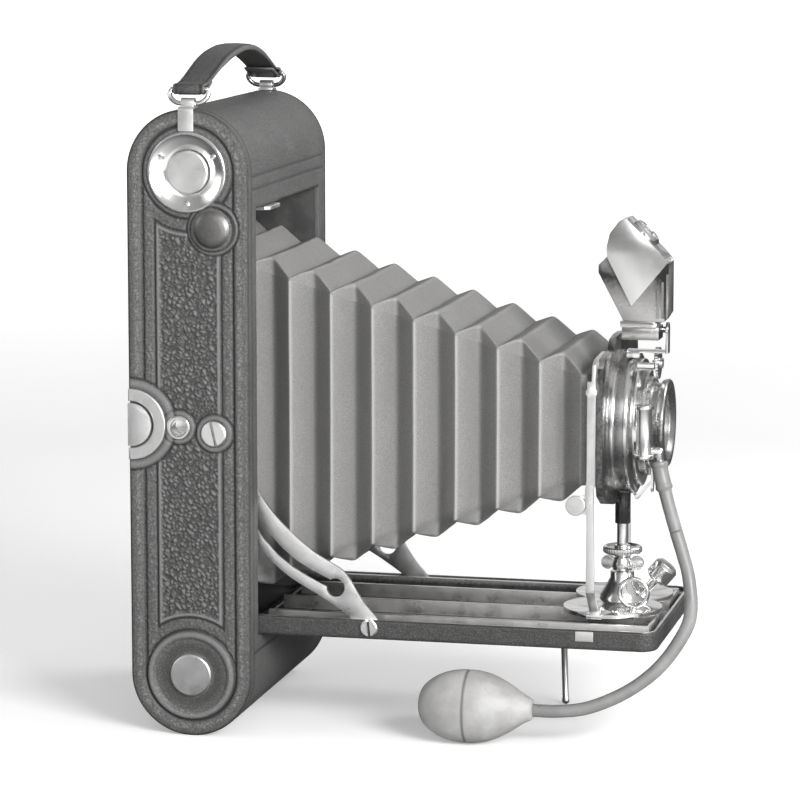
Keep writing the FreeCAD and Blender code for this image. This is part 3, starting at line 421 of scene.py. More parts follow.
def spline_span(a, b, c, d, count):
    """count points of the Catmull-Rom curve from b toward c."""
    span = []
    for k in range(count):
        t = k / count
        span.append(0.5 * ((2 * b) + (c - a) * t + (2 * a - 5 * b + 4 * c - d) * t * t
                           + (3 * b - a - 3 * c + d) * t ** 3))
    return span


def smooth_path(corners, per_span=10):
    """Smooth curve through the corners."""
    pts = [Vector(c) for c in corners]
    pts = [pts[0] * 2 - pts[1]] + pts + [pts[-1] * 2 - pts[-2]]
    out = []
    for i in range(1, len(pts) - 2):
        out += spline_span(*pts[i - 1:i + 3], per_span)
    return out + [pts[-2]]


def thicken(piece, thickness):
    """Give a single skin its thickness in millimetres, inward."""
    skin = piece.modifiers.new("thickness", "SOLIDIFY")
    skin.thickness = thickness * MM
    skin.offset = -1.0


def pebble(x, y, z, size, seed, slant=0.0):
    """Rounded grain, 0 in the creases and 1 on the tips. slant draws it out along a diagonal."""
    along, across = (y + z) * 0.707, (y - z) * 0.707
    if slant:
        y, z = along * (1 + slant), across * (1 - slant)
    point = Vector((x / size, y / size, z / size + seed))
    point += noise.noise_vector(point * 0.6) * 0.55
    near = noise.voronoi(point)[0]
    return ease(near[1] - near[0], 0.0, 0.55)


# ---- end leather ----
GROOVE_R = 17.7         # line that runs round inside the outer bead
PANEL_Y = 13.0          # half width of the sunk panel
PANEL_RING = 22.4       # its ends are arcs of this radius
LATCH = (22.8, 120.6)   # fittings of the near end, as Y and Z
BUSH = (4.1, 119.9)
PLUG = (-9.9, 117.9)
BUTTON = (-9.9, 195.8)
BASE_HEIGHT = 0.62      # flat leather over the plate
BEZEL_HOLE = 15.0       # openings in the leather round the fittings, as radii
PIN_HOLE = 7.4
LATCH_HOLE = 13.3
BUSH_HOLE = 4.4
PLUG_HOLE = 4.6
BUTTON_GAP = 0.75       # between the button's rim and its opening


def panel_depth(y, z):
    """Distance into the panel, negative outside it."""
    ring_top = math.hypot(y, z - Z_TOP)
    ring_low = math.hypot(y, z - Z_LOW)
    return min(PANEL_Y - abs(y), ring_top - PANEL_RING, ring_low - PANEL_RING, Z_TOP - z, z - Z_LOW)


def ring_relief(y, z, centre, inner, half, height):
    """Raised ring and its outer groove round a fitting: share of grain kept, added height and shade."""
    d = math.hypot(y - centre[0], z - centre[1])
    flat = 1 - ease(d, inner + 2 * half + 0.9, inner + 2 * half + 0.2)
    rise = bump_at(d, inner + half, half) * height
    dark = groove_at(d, inner + 2 * half + 0.55, 0.7)
    return flat, rise, dark


def near_fittings(y, z):
    """Embossed rings round the catch, bush, plug and button."""
    best = (1.0, 0.0, 0.0)
    for centre, inner, half, height in ((LATCH, 14.2, 1.5, 0.7), (BUSH, 4.6, 0.85, 0.55),
                                        (PLUG, 5.2, 0.9, 0.5), (BUTTON, 8.7, 0.5, 0.3)):
        flat, rise, dark = ring_relief(y, z, centre, inner, half, height)
        if flat < best[0] or dark > best[2]:
            best = (min(flat, best[0]), max(rise, best[1]), max(dark, best[2]))
    return best


def far_fittings(y, z):
    d = math.hypot(y, z - Z_TOP)
    return 1.0, bump_at(d, 9.6, 1.2) * 0.5, groove_at(d, 11.6, 0.7)


def end_relief(r, y, z, fittings):
    """Height over the plate in millimetres, painted shade of low places, and the lightening of high ones,
    partly wear and partly painted highlight.
    """
    to_top = math.hypot(y, z - Z_TOP)
    to_low = math.hypot(y, z - Z_LOW)
    ring = min(to_top, to_low)
    into = panel_depth(y, z)
    coarse = pebble(0.0, y, z, 1.55, 3.0, -0.3)
    fine = pebble(0.0, y, z, 1.3, 9.0, -0.2)
    wave = noise.noise(Vector((y / 9, z / 9, 4.0)))
    line = max(groove_at(r, GROOVE_R, 1.0), groove_at(ring, GROOVE_R, 0.9), groove_at(into, 0.0, 0.8))
    height = BASE_HEIGHT + 0.05 * wave
    if r > GROOVE_R:
        height += 0.62 * bump_at(r, 20.6, 2.9) + 0.22 * (fine - 0.4)
    elif into > 0:
        height += 0.30 * bump_at(into, 1.25, 0.8) + 0.85 * (coarse - 0.4) * ease(into, 1.4, 2.6)
    elif ring > GROOVE_R:
        height += 0.22 * bump_at(r, 15.4, 1.9) + 0.42 * (fine - 0.4)
    # Lighter beads and ridges: painted highlight as well as wear.
    rub = 1.3 * groove_at(r, 20.2, 1.4) * ease(fine, 0.0, 0.7) + 1.0 * groove_at(into, 1.25, 0.7) * (into > 0)
    shade = line
    # Painted light and shade on the panel's pebbles: tips lighter, low places darker.
    if into > 1.6:
        rub += 0.5 * ease(coarse, 0.45, 0.95)
        shade = max(shade, 0.6 * ease(coarse, 0.34, 0.08))
    elif GROOVE_R > r > 14.0:
        rub += 0.6 * ease(fine, 0.5, 0.95) * bump_at(r, 15.4, 1.4)
    if ring < GROOVE_R:
        if to_low < to_top:
            # A lighter bead as painted highlight, and painted shade in the dish.
            height += 1.05 * bump_at(ring, 15.9, 1.7) - 0.42 * (1 - ease(ring, 8.6, 14.2))
            rub += 0.8 * groove_at(ring, 15.9, 1.4)
            shade = max(shade, 0.5 * ease(ring, 8.2, 9.5) * (1 - ease(ring, 11.0, 14.0)))
        else:
            height += 0.35 * bump_at(ring, 16.5, 1.0) + 0.1 * fine
    flat, rise, dark = fittings(y, z)
    height = height * flat + (BASE_HEIGHT + rise) * (1 - flat) if flat < 1 else height + rise
    shade = max(shade * flat, dark)
    # Raised rings round the fittings are lightened: painted highlight.
    rub = rub * flat + rise * 1.1
    height -= 0.55 * max(line * flat, dark)
    shade = max(shade, 0.7 * ease(r, R - 1.3, R - 0.3))
    roll = clamp((R - r) / 1.1)
    height = height * math.sqrt(1 - (1 - roll) ** 2) + 0.02
    return max(0.03, height), clamp(shade), clamp(rub)


def end_leather(name, side, holes, fittings, cad_node):
    """Embossed leather on one end, laid out round the middle line so its lines run true."""
    outline = []
    arc = [math.pi * i / 180 for i in range(0, 181)]
    rises = steps(Z_LOW, Z_TOP, 0.42)
    outline += [(-1.0, 0.0, z) for z in rises[:-1]]
    outline += [(-math.cos(a), math.sin(a), Z_TOP) for a in arc[:-1]]
    outline += [(1.0, 0.0, z) for z in reversed(rises[1:])]
    outline += [(math.cos(a), -math.sin(a), Z_LOW) for a in arc[:-1]]
    radii = through([0.0, GROOVE_R, R - 1.4], 0.4) + steps(R - 1.4, R, 0.13)[1:]
    points, shades, wear_and_highlights, kept = [], [], [], []
    for cos_a, sin_a, mid_z in outline:
        for r in radii:
            y, z = cos_a * r, mid_z + sin_a * r
            height, shade, rub = end_relief(r, y, z, fittings)
            points.append((side * (PLATE_X + height), y, z))
            shades.append(shade)
            wear_and_highlights.append(rub)
            kept.append(all(math.hypot(y - hy, z - hz) > hr for (hy, hz), hr in holes))
    columns = len(radii)
    count = len(outline)
    faces = []
    for i in range(count):
        k = (i + 1) % count
        for j in range(columns - 1):
            quad = (i * columns + j, k * columns + j, k * columns + j + 1, i * columns + j + 1)
            if any(kept[q] for q in quad):
                faces.append(quad if side < 0 else quad[::-1])
    looks = {"shade": shades, "rub": wear_and_highlights}
    piece = new_piece(name, points, faces, "seal_leather", looks, 0.02)
    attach(piece, "root")
    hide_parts(cad_node)


def build_end_leathers():
    button_low, button_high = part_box("door_button")
    button_r = (button_high.z - button_low.z) / 2 / MM
    near_holes = [((0, Z_TOP), BEZEL_HOLE), ((0, Z_LOW), PIN_HOLE), (BUTTON, button_r + BUTTON_GAP),
                  (BUSH, BUSH_HOLE), (PLUG, PLUG_HOLE), (LATCH, LATCH_HOLE)]
    far_holes = [((0, Z_TOP), PIN_HOLE)]
    end_leather("end_skin_left", -1, near_holes, near_fittings, "end_leather_left")
    end_leather("end_skin_right", 1, far_holes, far_fittings, "end_leather_right")


# ---- leather round the body ----
EDGE_STRIP = 55.0       # inner edge of the strip folded over from the ends
HEAD_LINES = (215.2, 210.6)     # embossed lines across the front, above and below the opening
FOOT_LINE = 32.0
BACK_FRAME = (47.0, 27.0, 214.0)    # half width, foot and head of the frame line on the back
WINDOW_Z = 62.0
WINDOW_R = 5.0
WRAP_THICK = 0.75
SEAM_Y = 2.0            # the two covers meet this far behind the middle
GRID = 0.85             # spacing of the wrap's points


def seam_and_lead(front):
    """Angle of the seam, and the length from it to where the round end meets the flat."""
    seam = math.asin(SEAM_Y / R)
    return seam, R * (math.pi / 2 + seam) if front else R * (math.pi / 2 - seam)


def outline_point(s, front):
    """Point and outward direction at length s round the body from the top seam, front or back."""
    seam, lead = seam_and_lead(front)
    sign = -1 if front else 1
    if s < lead:
        a = (-seam if front else seam) + s / R
        ny, nz = sign * math.sin(a), math.cos(a)
        return (ny * R, Z_TOP + nz * R), (ny, nz)
    if s < lead + (Z_TOP - Z_LOW):
        return (sign * R, Z_TOP - (s - lead)), (sign, 0.0)
    a = (s - lead - (Z_TOP - Z_LOW)) / R
    ny, nz = sign * math.cos(a), -math.sin(a)
    return (ny * R, Z_LOW + nz * R), (ny, nz)


def wrap_relief(x, y, z, front):
    """Height over the smooth wrap, and shade."""
    fine = pebble(x, y, z, 1.3, 5.0)
    wave = noise.noise(Vector((x / 30, y / 30, z / 30)))
    height = 0.05 * fine + 0.07 * wave
    edge = WRAP_X - abs(x)
    height -= 0.55 * (1 - math.sqrt(1 - (1 - clamp(edge / 0.9)) ** 2))
    line = groove_at(abs(x), EDGE_STRIP, 0.55)
    if abs(x) > EDGE_STRIP:
        height -= 0.12
    if front and y < -R + 0.5 and abs(x) < EDGE_STRIP:
        line = max(line, groove_at(z, HEAD_LINES[0], 0.6), 0.6 * groove_at(z, HEAD_LINES[1], 0.5),
                   groove_at(z, FOOT_LINE, 0.6))
        height += 0.15 * ease(z, HEAD_LINES[0], HEAD_LINES[0] - 1) * ease(z, HEAD_LINES[1], HEAD_LINES[1] + 1)
    if not front and y > R - 0.5:
        half, foot, head = BACK_FRAME
        frame_line = min(half - abs(x), z - foot, head - z)
        line = max(line, groove_at(frame_line, 0.0, 0.7), 0.6 * groove_at(frame_line, 2.2, 0.5))
        line = max(line, groove_at(math.hypot(x, z - WINDOW_Z), 8.2, 0.6))
    return height - 0.4 * line, line


def wrap(name, front, cad_node):
    lead = seam_and_lead(front)[1]
    flat_end = lead + Z_TOP - Z_LOW
    total = flat_end + lead
    mid_stops = [lead + Z_TOP - OPEN_TOP, lead + Z_TOP - OPEN_LOW] if front else []
    lengths = through([0.0, lead] + mid_stops + [flat_end, total], GRID)
    widths = through([-WRAP_X, -WRAP_X + 1.2, -OPEN_X, OPEN_X, WRAP_X - 1.2, WRAP_X], GRID)
    widths = sorted(set(widths + [-WRAP_X + 0.3, -WRAP_X + 0.6, WRAP_X - 0.6, WRAP_X - 0.3]))
    points, shades = [], []
    for s in lengths:
        (y, z), (ny, nz) = outline_point(s, front)
        seam_drop = 0.5 * (1 - clamp(min(s, total - s) / 0.9)) ** 2
        for x in widths:
            height, shade = wrap_relief(x, y, z, front)
            if front and ny < -0.99:
                gap = max(abs(x) - OPEN_X, OPEN_LOW - z, z - OPEN_TOP)
                height -= 0.5 * (1 - clamp(gap / 1.0)) ** 2
            height -= seam_drop
            points.append((x, y + ny * height, z + nz * height))
            shades.append(clamp(shade + seam_drop))
    columns = len(widths)

    def in_opening(i, j):
        (_, z), (ny, _) = outline_point((lengths[i] + lengths[i + 1]) / 2, front)
        x = (widths[j] + widths[j + 1]) / 2
        if front:
            return ny < -0.99 and abs(x) < OPEN_X and OPEN_LOW < z < OPEN_TOP
        return ny > 0.99 and math.hypot(x, z - WINDOW_Z) < WINDOW_R

    faces = grid_faces(len(lengths), columns, skip=in_opening)
    piece = new_piece(name, points, faces, "wrap_leather", {"shade": shades})
    thicken(piece, WRAP_THICK)
    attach(piece, "root")
    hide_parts(cad_node)


# ---- bellows ----
# Side ridges from back to front. The leather is fixed to the box behind the first of them, and
# to the standard in front of the last.
RIDGES = [8.8, -4.6, -18.4, -34.6, -50.7, -66.9, -83.0, -99.2, -115.3, -131.5, -147.6]
BELLOWS_END = -151.5
BELLOWS_THICK = 0.7


def ridge_ring(y):
    """Corners on a ridge, where the sides stand out and the top dips, from the near lower one up."""
    half = 41.4 + 0.018 * (y + 23.0)
    top = 186.3 + 0.30 * y
    low = 52.0 - 0.323 * y
    cut = 0.7
    return [(-half, low + cut), (-half, top - cut), (cut - half, top), (half - cut, top), (half, top - cut),
            (half, low + cut), (half - cut, low), (cut - half, low)]


def valley_ring(y):
    """Corners in a valley, where the sides fold in and the top stands up."""
    side = 34.0 + 0.014 * (y + 23.0)
    hump = side + 1.8
    top_side = 184.6 + 0.30 * y
    top = 191.4 + 0.30 * y
    low_side = 53.6 - 0.323 * y
    low = 47.4 - 0.325 * y
    return [(-side, low_side), (-side, top_side), (-hump, top), (hump, top), (side, top_side),
            (side, low_side), (hump, low), (-hump, low)]


def fold_depth(phase):
    """0 on a ridge, 1 in a valley, straight between them with the valley a little rounded."""
    u = abs(2 * (phase % 1.0) - 1)
    return (math.sqrt(1.02) - math.sqrt(u * u + 0.02)) / (math.sqrt(1.02) - math.sqrt(0.02))


def bellows_row(y, depth):
    outer, inner = ridge_ring(y), valley_ring(y)
    corners = [(a[0] + (b[0] - a[0]) * depth, a[1] + (b[1] - a[1]) * depth) for a, b in zip(outer, inner)]
    row = []
    for k in range(8):
        (ax, az), (bx, bz) = corners[k], corners[(k + 1) % 8]
        long_side = k in (0, 2, 4, 6)
        shares = LONG_SHARES if long_side else (0.0, 0.25, 0.5, 0.75)
        for t in shares:
            x, z = ax + (bx - ax) * t, az + (bz - az) * t
            sag = 0.5 * math.sin(math.pi * t) if long_side else 0.0
            soft = noise.noise(Vector((x, y * 1.6, z * 0.35)) / 9.0) * 0.28
            soft += 0.12 * noise.noise(Vector((x, y, z)) / 3.0)
            if abs(bx - ax) < abs(bz - az):
                row.append((x + (sag + soft) * (1 if x < 0 else -1), z, k))
            else:
                row.append((x, z - (sag * 0.6 + soft), k))
    return row


LONG_SHARES = [0.0, 0.006, 0.015, 0.03, 0.06]
LONG_SHARES += [0.1 + 0.8 * i / 20 for i in range(21)] + [0.94, 0.97, 0.985, 0.994]
PHASES = [0.0, 0.03, 0.07, 0.13, 0.2, 0.28, 0.36, 0.42, 0.46, 0.5]
PHASES += [0.54, 0.58, 0.64, 0.72, 0.8, 0.87, 0.93, 0.97]


def fold_shade(phase, side, above):
    """Painted shade: darker toward the valleys, near the lower edge of the sides, and on the faces
    underneath.
    """
    if side not in (0, 4):
        return 0.55 if side > 4 else 0.0
    valley = 0.35 * ease(abs(phase - 0.52), 0.12, 0.0)
    return max(valley, 0.22 * ease(abs(phase - 0.5), 0.5, 0.1), 0.5 * ease(above, 5.0, 0.0))


def build_bellows():
    points, wear_and_highlights, shades = [], [], []
    rows = 0
    for back, front in zip(RIDGES, RIDGES[1:]):
        for phase in PHASES:
            y = back + (front - back) * phase
            depth = fold_depth(phase)
            bottom = ridge_ring(y)[0][1]
            for x, z, side in bellows_row(y, depth):
                points.append((x, y, z))
                on_side = side in (0, 4)
                peak = 1 - phase if phase > 0.5 else phase
                edge = peak if on_side else abs(phase - 0.5)
                # Lighter ridge lines: partly wear, partly painted highlight.
                wear_and_highlights.append(0.8 * ease(edge, 0.075, 0.0) * (1.0 if on_side else 0.5))
                shades.append(fold_shade(phase, side, z - bottom))
            rows += 1
    for y, depth in ((RIDGES[-1], 0.0), (BELLOWS_END, 0.3)):
        for x, z, _ in bellows_row(y, depth):
            points.append((x, y, z))
            wear_and_highlights.append(0.0)
            shades.append(0.0)
        rows += 1
    columns = len(points) // rows
    piece = new_piece("bellows_skin", points, grid_faces(rows, columns, closed=True), "pleat_leather",
                      {"rub": wear_and_highlights, "shade": shades})
    thicken(piece, BELLOWS_THICK)
    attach(piece, "root")
    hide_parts("bellows")
    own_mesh(piece)


# ---- strap and loops ----
LOOP_X = 57.0
LOOP_Z = BODY_H + 2.05
BAR_Z = LOOP_Z + 5.2
BAR_X = LOOP_X - 1.6
WIRE_R = 0.9
FOLD_R = 1.55           # middle of the leather where it turns round the bar
STRAP_W = 6.1           # half width
STRAP_HALF = 0.62       # half thickness
STRAP_PROFILE = 28      # points round its section


def rounded_loop(side):
    """Path of one wire loop, straight in the lug and under the strap, bowed at the sides."""
    lower = (side * LOOP_X, LOOP_Z)
    upper = (side * BAR_X, BAR_Z)
    corners = []
    for y, share in ((-3.6, 0.0), (3.6, 0.0), (6.4, 0.25), (7.5, 0.6), (7.0, 0.9), (5.6, 1.0), (-5.6, 1.0),
                     (-7.0, 0.9), (-7.5, 0.6), (-6.4, 0.25)):
        x = lower[0] + (upper[0] - lower[0]) * share
        z = lower[1] + (upper[1] - lower[1]) * share
        corners.append((x, y, z))
    return corners


def closed_tube(corners, radius, sides=16, per_span=7):
    """Points and faces of a round tube along a smooth closed loop."""
    pts = [Vector(c) for c in corners]
    count = len(pts)
    path = []
    for i in range(count):
        path += spline_span(*(pts[(i + k) % count] for k in (-1, 0, 1, 2)), per_span)
    middle = sum(path, Vector()) / len(path)
    plane = (pts[1] - middle).cross(pts[4] - middle).normalized()
    verts = []
    for i, point in enumerate(path):
        along = (path[(i + 1) % len(path)] - path[i - 1]).normalized()
        side = plane.cross(along).normalized()
        for k in range(sides):
            a = 2 * math.pi * k / sides
            verts.append(tuple(point + (side * math.cos(a) + plane * math.sin(a)) * radius))
    rows = len(path)
    faces = []
    for i in range(rows):
        n = (i + 1) % rows
        for k in range(sides):
            m = (k + 1) % sides
            faces.append((i * sides + k, i * sides + m, n * sides + m, n * sides + k))
    return verts, faces


def strap_end(side):
    """Tail, turn round the bar and first rise of one end of the strap, as X and Z."""
    tail = [(BAR_X - 10.5, BAR_Z + 2.1), (BAR_X - 7.0, BAR_Z + 0.8), (BAR_X - 3.4, BAR_Z - 0.5)]
    turn = []
    for i in range(9):
        a = math.radians(-110 + 190 * i / 8)
        turn.append((BAR_X + FOLD_R * math.cos(a), BAR_Z + FOLD_R * math.sin(a)))
    return [(side * x, z) for x, z in tail + turn]


def strap_path():
    """Centre line from the near tail to the far tail. The leather humps toward the far end."""
    top = BAR_Z + FOLD_R
    rises = [(-50.5, 0.25), (-44.5, 1.7), (-37.0, 4.0), (-27.0, 6.7), (-15.0, 9.1), (-2.0, 10.6), (9.0, 10.9),
             (19.0, 10.0), (29.0, 7.8), (38.0, 5.0), (45.0, 2.5), (50.5, 0.5)]
    hump = [(x, top + rise) for x, rise in rises]
    flat = strap_end(-1) + hump + list(reversed(strap_end(1)))
    return smooth_path([(x, 0.0, z) for x, z in flat], 5)


def strap_section(point, along, crown):
    """Rounded flat section of the strap, padded where it humps."""
    up = along.cross(Vector((0, 1, 0)))
    width = STRAP_W * (1.0 + 0.05 * crown)
    thick = STRAP_HALF * (1 + crown)
    row, shades, wear_and_highlights = [], [], []
    for i in range(STRAP_PROFILE):
        a = 2 * math.pi * i / STRAP_PROFILE
        c, s = math.cos(a), math.sin(a)
        across = abs(c) ** 0.28 * math.copysign(1, c)
        lift = abs(s) ** 0.55 * math.copysign(1, s)
        rise = lift * thick + 0.4 * crown * (1 - across * across)
        seam = groove_at(abs(across), 0.80, 0.05) * (lift > 0)
        wrinkle = 0.10 * noise.noise(Vector((point.x / 1.6, across * 2, point.z / 1.6)))
        row.append(tuple(point + Vector((0, across * width, 0)) + up * (rise - 0.25 * seam + wrinkle)))
        # Painted shade on the side edges and in the seam; lighter along the rims, partly wear and partly
        # painted highlight.
        shades.append(clamp(0.3 * (abs(s) < 0.3) + seam))
        wear_and_highlights.append(0.45 * clamp((abs(across) - 0.9) / 0.08))
    return row, shades, wear_and_highlights


def build_strap_halves():
    path = strap_path()
    count = len(path)
    rows = []
    for i, point in enumerate(path):
        along = (path[min(i + 1, count - 1)] - path[max(i - 1, 0)]).normalized()
        upper = point.z > BAR_Z + FOLD_R - 0.2
        crown = ease(abs(point.x - 4), 46.0, 22.0) if upper else 0.0
        rows.append(strap_section(point, along, crown))
    middle = min(range(count), key=lambda i: abs(path[i].x) + (0 if path[i].z > BAR_Z + 8 else 99))
    for side, part in ((-1, rows[:middle + 1]), (1, rows[middle:])):
        points = [p for row in part for p in row[0]]
        shades = [v for row in part for v in row[1]]
        wear_and_highlights = [v for row in part for v in row[2]]
        faces = grid_faces(len(part), STRAP_PROFILE, closed=True)
        last = (len(part) - 1) * STRAP_PROFILE
        cap = range(STRAP_PROFILE) if side < 0 else range(last, last + STRAP_PROFILE)
        faces.append(tuple(cap))
        piece = new_piece("strap_near" if side < 0 else "strap_far", points, faces, "strap_leather",
                          {"shade": shades, "rub": wear_and_highlights})
        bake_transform(piece)
        if side < 0:
            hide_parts("strap")


def strap_stitches(side):
    """Two rows of thread across the folded end."""
    verts, faces = [], []
    top = BAR_Z + FOLD_R + STRAP_HALF
    for row_x, row_z in ((BAR_X - 3.6, top + 0.02), (BAR_X - 7.6, top + 0.75)):
        for i in range(7):
            y = -4.8 + 1.6 * i
            path = [Vector((side * row_x, y + along, row_z + rise))
                    for along, rise in ((-0.55, -0.25), (-0.3, 0.1), (0.3, 0.1), (0.55, -0.25))]
            stitch, its_faces = tube(path, [0.2, 0.26, 0.26, 0.2], 8)
            faces += [tuple(q + len(verts) for q in face) for face in its_faces]
            verts += stitch
    piece = new_piece("stitches_" + ("near" if side < 0 else "far"), verts, faces, "thread")
    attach(piece, "loop_left" if side < 0 else "loop_right")


def build_strap():
    build_strap_halves()
    for side in (-1, 1):
        strap_stitches(side)
        verts, faces = closed_tube(rounded_loop(side), WIRE_R)
        name = "wire_loop_near" if side < 0 else "wire_loop_far"
        # Both loops are nickel; the far one is given the darker gunmetal finish as painted shade.
        piece = new_piece(name, verts, faces, "nickel" if side < 0 else "gunmetal")
        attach(piece, "loop_left" if side < 0 else "loop_right")
        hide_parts("strap_loop_left" if side < 0 else "strap_loop_right")


# ---- bed leather ----
BED_HALF = 46.6
BED_FRONT = -178.0
BED_REAR = -23.0
BED_CORNER = 6.8
UNDERSIDE_Z = 37.85


def bed_outline():
    """Path round the bed from one rear corner to the other: points and outward directions."""
    half, front, rear, corner = BED_HALF, BED_FRONT, BED_REAR, BED_CORNER
    path = [(-half, y, -1.0, 0.0) for y in steps(rear, front + corner, 0.8)]
    for i in range(1, 13):
        a = math.pi / 2 * i / 12
        path.append((-half + corner - corner * math.cos(a), front + corner - corner * math.sin(a),
                     -math.cos(a), -math.sin(a)))
    path += [(x, front, 0.0, -1.0) for x in steps(-half + corner, half - corner, 0.8)[1:]]
    for i in range(1, 13):
        a = math.pi / 2 * i / 12
        path.append((half - corner + corner * math.sin(a), front + corner - corner * math.cos(a),
                     math.sin(a), -math.cos(a)))
    path += [(half, y, 1.0, 0.0) for y in steps(front + corner, rear, 0.8)[1:]]
    return path


def build_bed_leather():
    rings = [(0.75, 45.25), (0.3, 45.3), (0.05, 45.0)]
    rings += [(0.0, z) for z in steps(44.6, 39.4, 0.45)]
    rings += [(0.25, 38.7), (0.8, 38.2), (1.6, 38.0), (3.0, 38.0), (4.6, 38.05)]
    outline = bed_outline()
    points = []
    for inset, z in rings:
        for x, y, nx, ny in outline:
            grain = 0.16 * (pebble(x, y, z, 1.6, 2.0) - 0.4)
            grain *= ease(z, 38.2, 38.8) * ease(z, 45.2, 44.6)
            grain -= inset
            points.append((x + nx * grain, y + ny * grain, z))
    piece = new_piece("bed_skin", points, grid_faces(len(rings), len(outline)), "bed_leather")
    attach(piece, "root")
    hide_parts("bed_leather")
    half_x, y0, y1 = BED_HALF - 3.2, BED_FRONT + 3.4, BED_REAR
    xs, ys = steps(-half_x, half_x, 0.9), steps(y0, y1, 0.9)
    points, shades = [], []
    for y in ys:
        for x in xs:
            border = min(half_x - abs(x), y - y0, y1 - y)
            line = groove_at(border, 5.0, 0.7)
            grain = 0.2 * (pebble(x, y, 0.0, 1.9, 7.0) - 0.5)
            rise = 0.35 * line + 0.3 * (1 - ease(border, 0.0, 1.5))
            points.append((x, y, UNDERSIDE_Z - grain + rise))
            shades.append(line)
    panel = new_piece("bed_underside", points, grid_faces(len(ys), len(xs)), "bed_leather",
                      {"shade": shades})
    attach(panel, "root")


# ---- hose and bulb ----
HOSE_R = 2.5
HOSE_TOP = [(-21.0, -174.6, 107.0), (-21.4, -175.2, 103.0), (-22.4, -176.6, 98.0), (-23.9, -179.0, 90.0),
            (-25.6, -182.0, 81.0)]
HOSE_LOW = [(-25.6, -182.0, 81.0), (-26.9, -184.9, 72.5), (-28.2, -187.4, 64.0), (-31.0, -188.8, 52.3),
            (-33.6, -186.7, 43.8), (-37.8, -178.5, 31.5), (-41.8, -167.0, 22.2), (-44.8, -153.0, 15.8),
            (-46.0, -141.0, 13.8), (-46.0, -129.0, 13.6)]
BULB = Vector((-46.0, -107.4, 14.0))
SEAM_X = -1.5           # mould seam, measured along the bulb from its middle


def hose_piece(name, corners, radius_at):
    path = smooth_path(corners, 12)
    radii = [radius_at(p) for p in path]
    verts, faces = tube(path, radii, 28)
    return new_piece(name, verts, faces, "hose_rubber")


def sleeve_radius(p):
    sleeve = ease(p.z, 96.0, 97.2)
    lips = bump_at(p.z, 97.6, 0.9) + bump_at(p.z, 106.0, 0.9)
    return HOSE_R + 0.55 * sleeve + 0.25 * lips


def neck_radius(p):
    return HOSE_R + 0.12 * noise.noise(p / 25.0)


def build_hose():
    upper = hose_piece("hose_upper", HOSE_TOP, sleeve_radius)
    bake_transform(upper)
    lower = hose_piece("hose_lower", HOSE_LOW, neck_radius)
    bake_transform(lower)
    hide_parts("hose")


def build_bulb():
    """Pear-shaped bulb with a sunk mould seam round its girth and a narrowing neck."""
    profile = [(-21.0, 0.0), (-20.8, 2.2), (-19.8, 5.6), (-18.1, 8.0), (-15.8, 10.0), (-12.4, 12.0),
               (-8.4, 13.3), (-4.6, 13.85), (-1.0, 14.0), (2.6, 13.75), (6.0, 13.1), (9.4, 11.9),
               (12.5, 10.4), (15.6, 8.6), (18.5, 6.7), (20.4, 5.5), (21.5, 4.9), (22.4, 4.5), (23.2, 3.9),
               (23.6, 2.6)]
    line = smooth_path([(a, r, 0.0) for a, r in profile], 9)
    sides = 96
    points, shades = [], []
    for p in line:
        for k in range(sides):
            a = 2 * math.pi * k / sides
            soft = 0.12 * noise.noise(Vector((p.x, p.y * math.cos(a), p.y * math.sin(a))) / 13.0)
            r = max(0.0, p.y + soft * clamp(p.y / 6))
            girth = groove_at(p.x, SEAM_X, 0.9)
            r -= 0.16 * girth
            points.append((BULB.x + r * math.cos(a), BULB.y - p.x, BULB.z + r * math.sin(a)))
            shades.append(girth)
    faces = grid_faces(len(line), sides, closed=True)
    faces.append(tuple(range((len(line) - 1) * sides, len(line) * sides)))
    piece = new_piece("squeeze_bulb", points, faces, "rubber", {"shade": shades}, 0.01)
    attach(piece, "root")
    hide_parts("bulb")


# ---- small metal pieces not in the CAD ----
def build_bed_tongue():
    """Nickel spring tongue under the top edge of the opening, which holds the closed bed."""
    points = []
    outline = [(-33.0, -19.0), (-33.0, -22.6), (-31.0, -24.6), (-17.0, -24.6), (-15.0, -22.6),
               (-15.0, -19.0)]
    for z, grow in ((202.3, 0.0), (202.0, 0.25), (201.1, 0.25), (200.8, 0.0)):
        for x, y in outline:
            points.append((x + math.copysign(grow, x + 24.0), y - grow, z))
    count = len(outline)
    faces = grid_faces(4, count, closed=True)
    faces += [tuple(range(count)), tuple(range(3 * count, 4 * count))]
    piece = new_piece("bed_tongue", points, faces, "satin_nickel")
    piece.data.polygons.foreach_set("use_smooth", [False] * len(piece.data.polygons))
    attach(piece, "root")


# ---- CAD nodes: finish and softened edges ----
# Any node that is not listed is bright nickel.
FINISH_NODES = {
    "sheet": "body_shell back_cover end_plate_left end_plate_right",
    "dark_bed": "bed bed_rails",
    "matt_black": "inner_frame film_gate iris",
    "steel": "pressure_plate guide_roller_top guide_roller_bottom",
    "ruby": "red_window",
    "wood": "supply_spool take_up_spool",
    "bronze": "door_button",
    "gloss_black": "lens_board finder_body",
    "gunmetal": "shutter_case lens_barrel",
    "optical": "lens_glass",
    "satin_nickel": "leg_bracket support_leg strut_right strut_left slotted_screws spool_pin_top "
                    "spool_pin_bottom back_catch back_catch_ring u_frame bed_catches side_knob_left "
                    "strap_lugs",
    "dull_nickel": "bed_hinge_pin",
}
CAD_FINISH = {name: finish for finish, names in FINISH_NODES.items() for name in names.split()}


def face_middle(face):
    """Middle of a CAD face in millimetres about the body."""
    p = face.center
    return p.x / MM, (p.y - MIDDLE_Y) / MM, p.z / MM


HEAD_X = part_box("slotted_screws")[0].x / MM     # outer face of the plug on the near end
RAIL_LEVEL = 45.4       # upward faces above this are worn to the metal


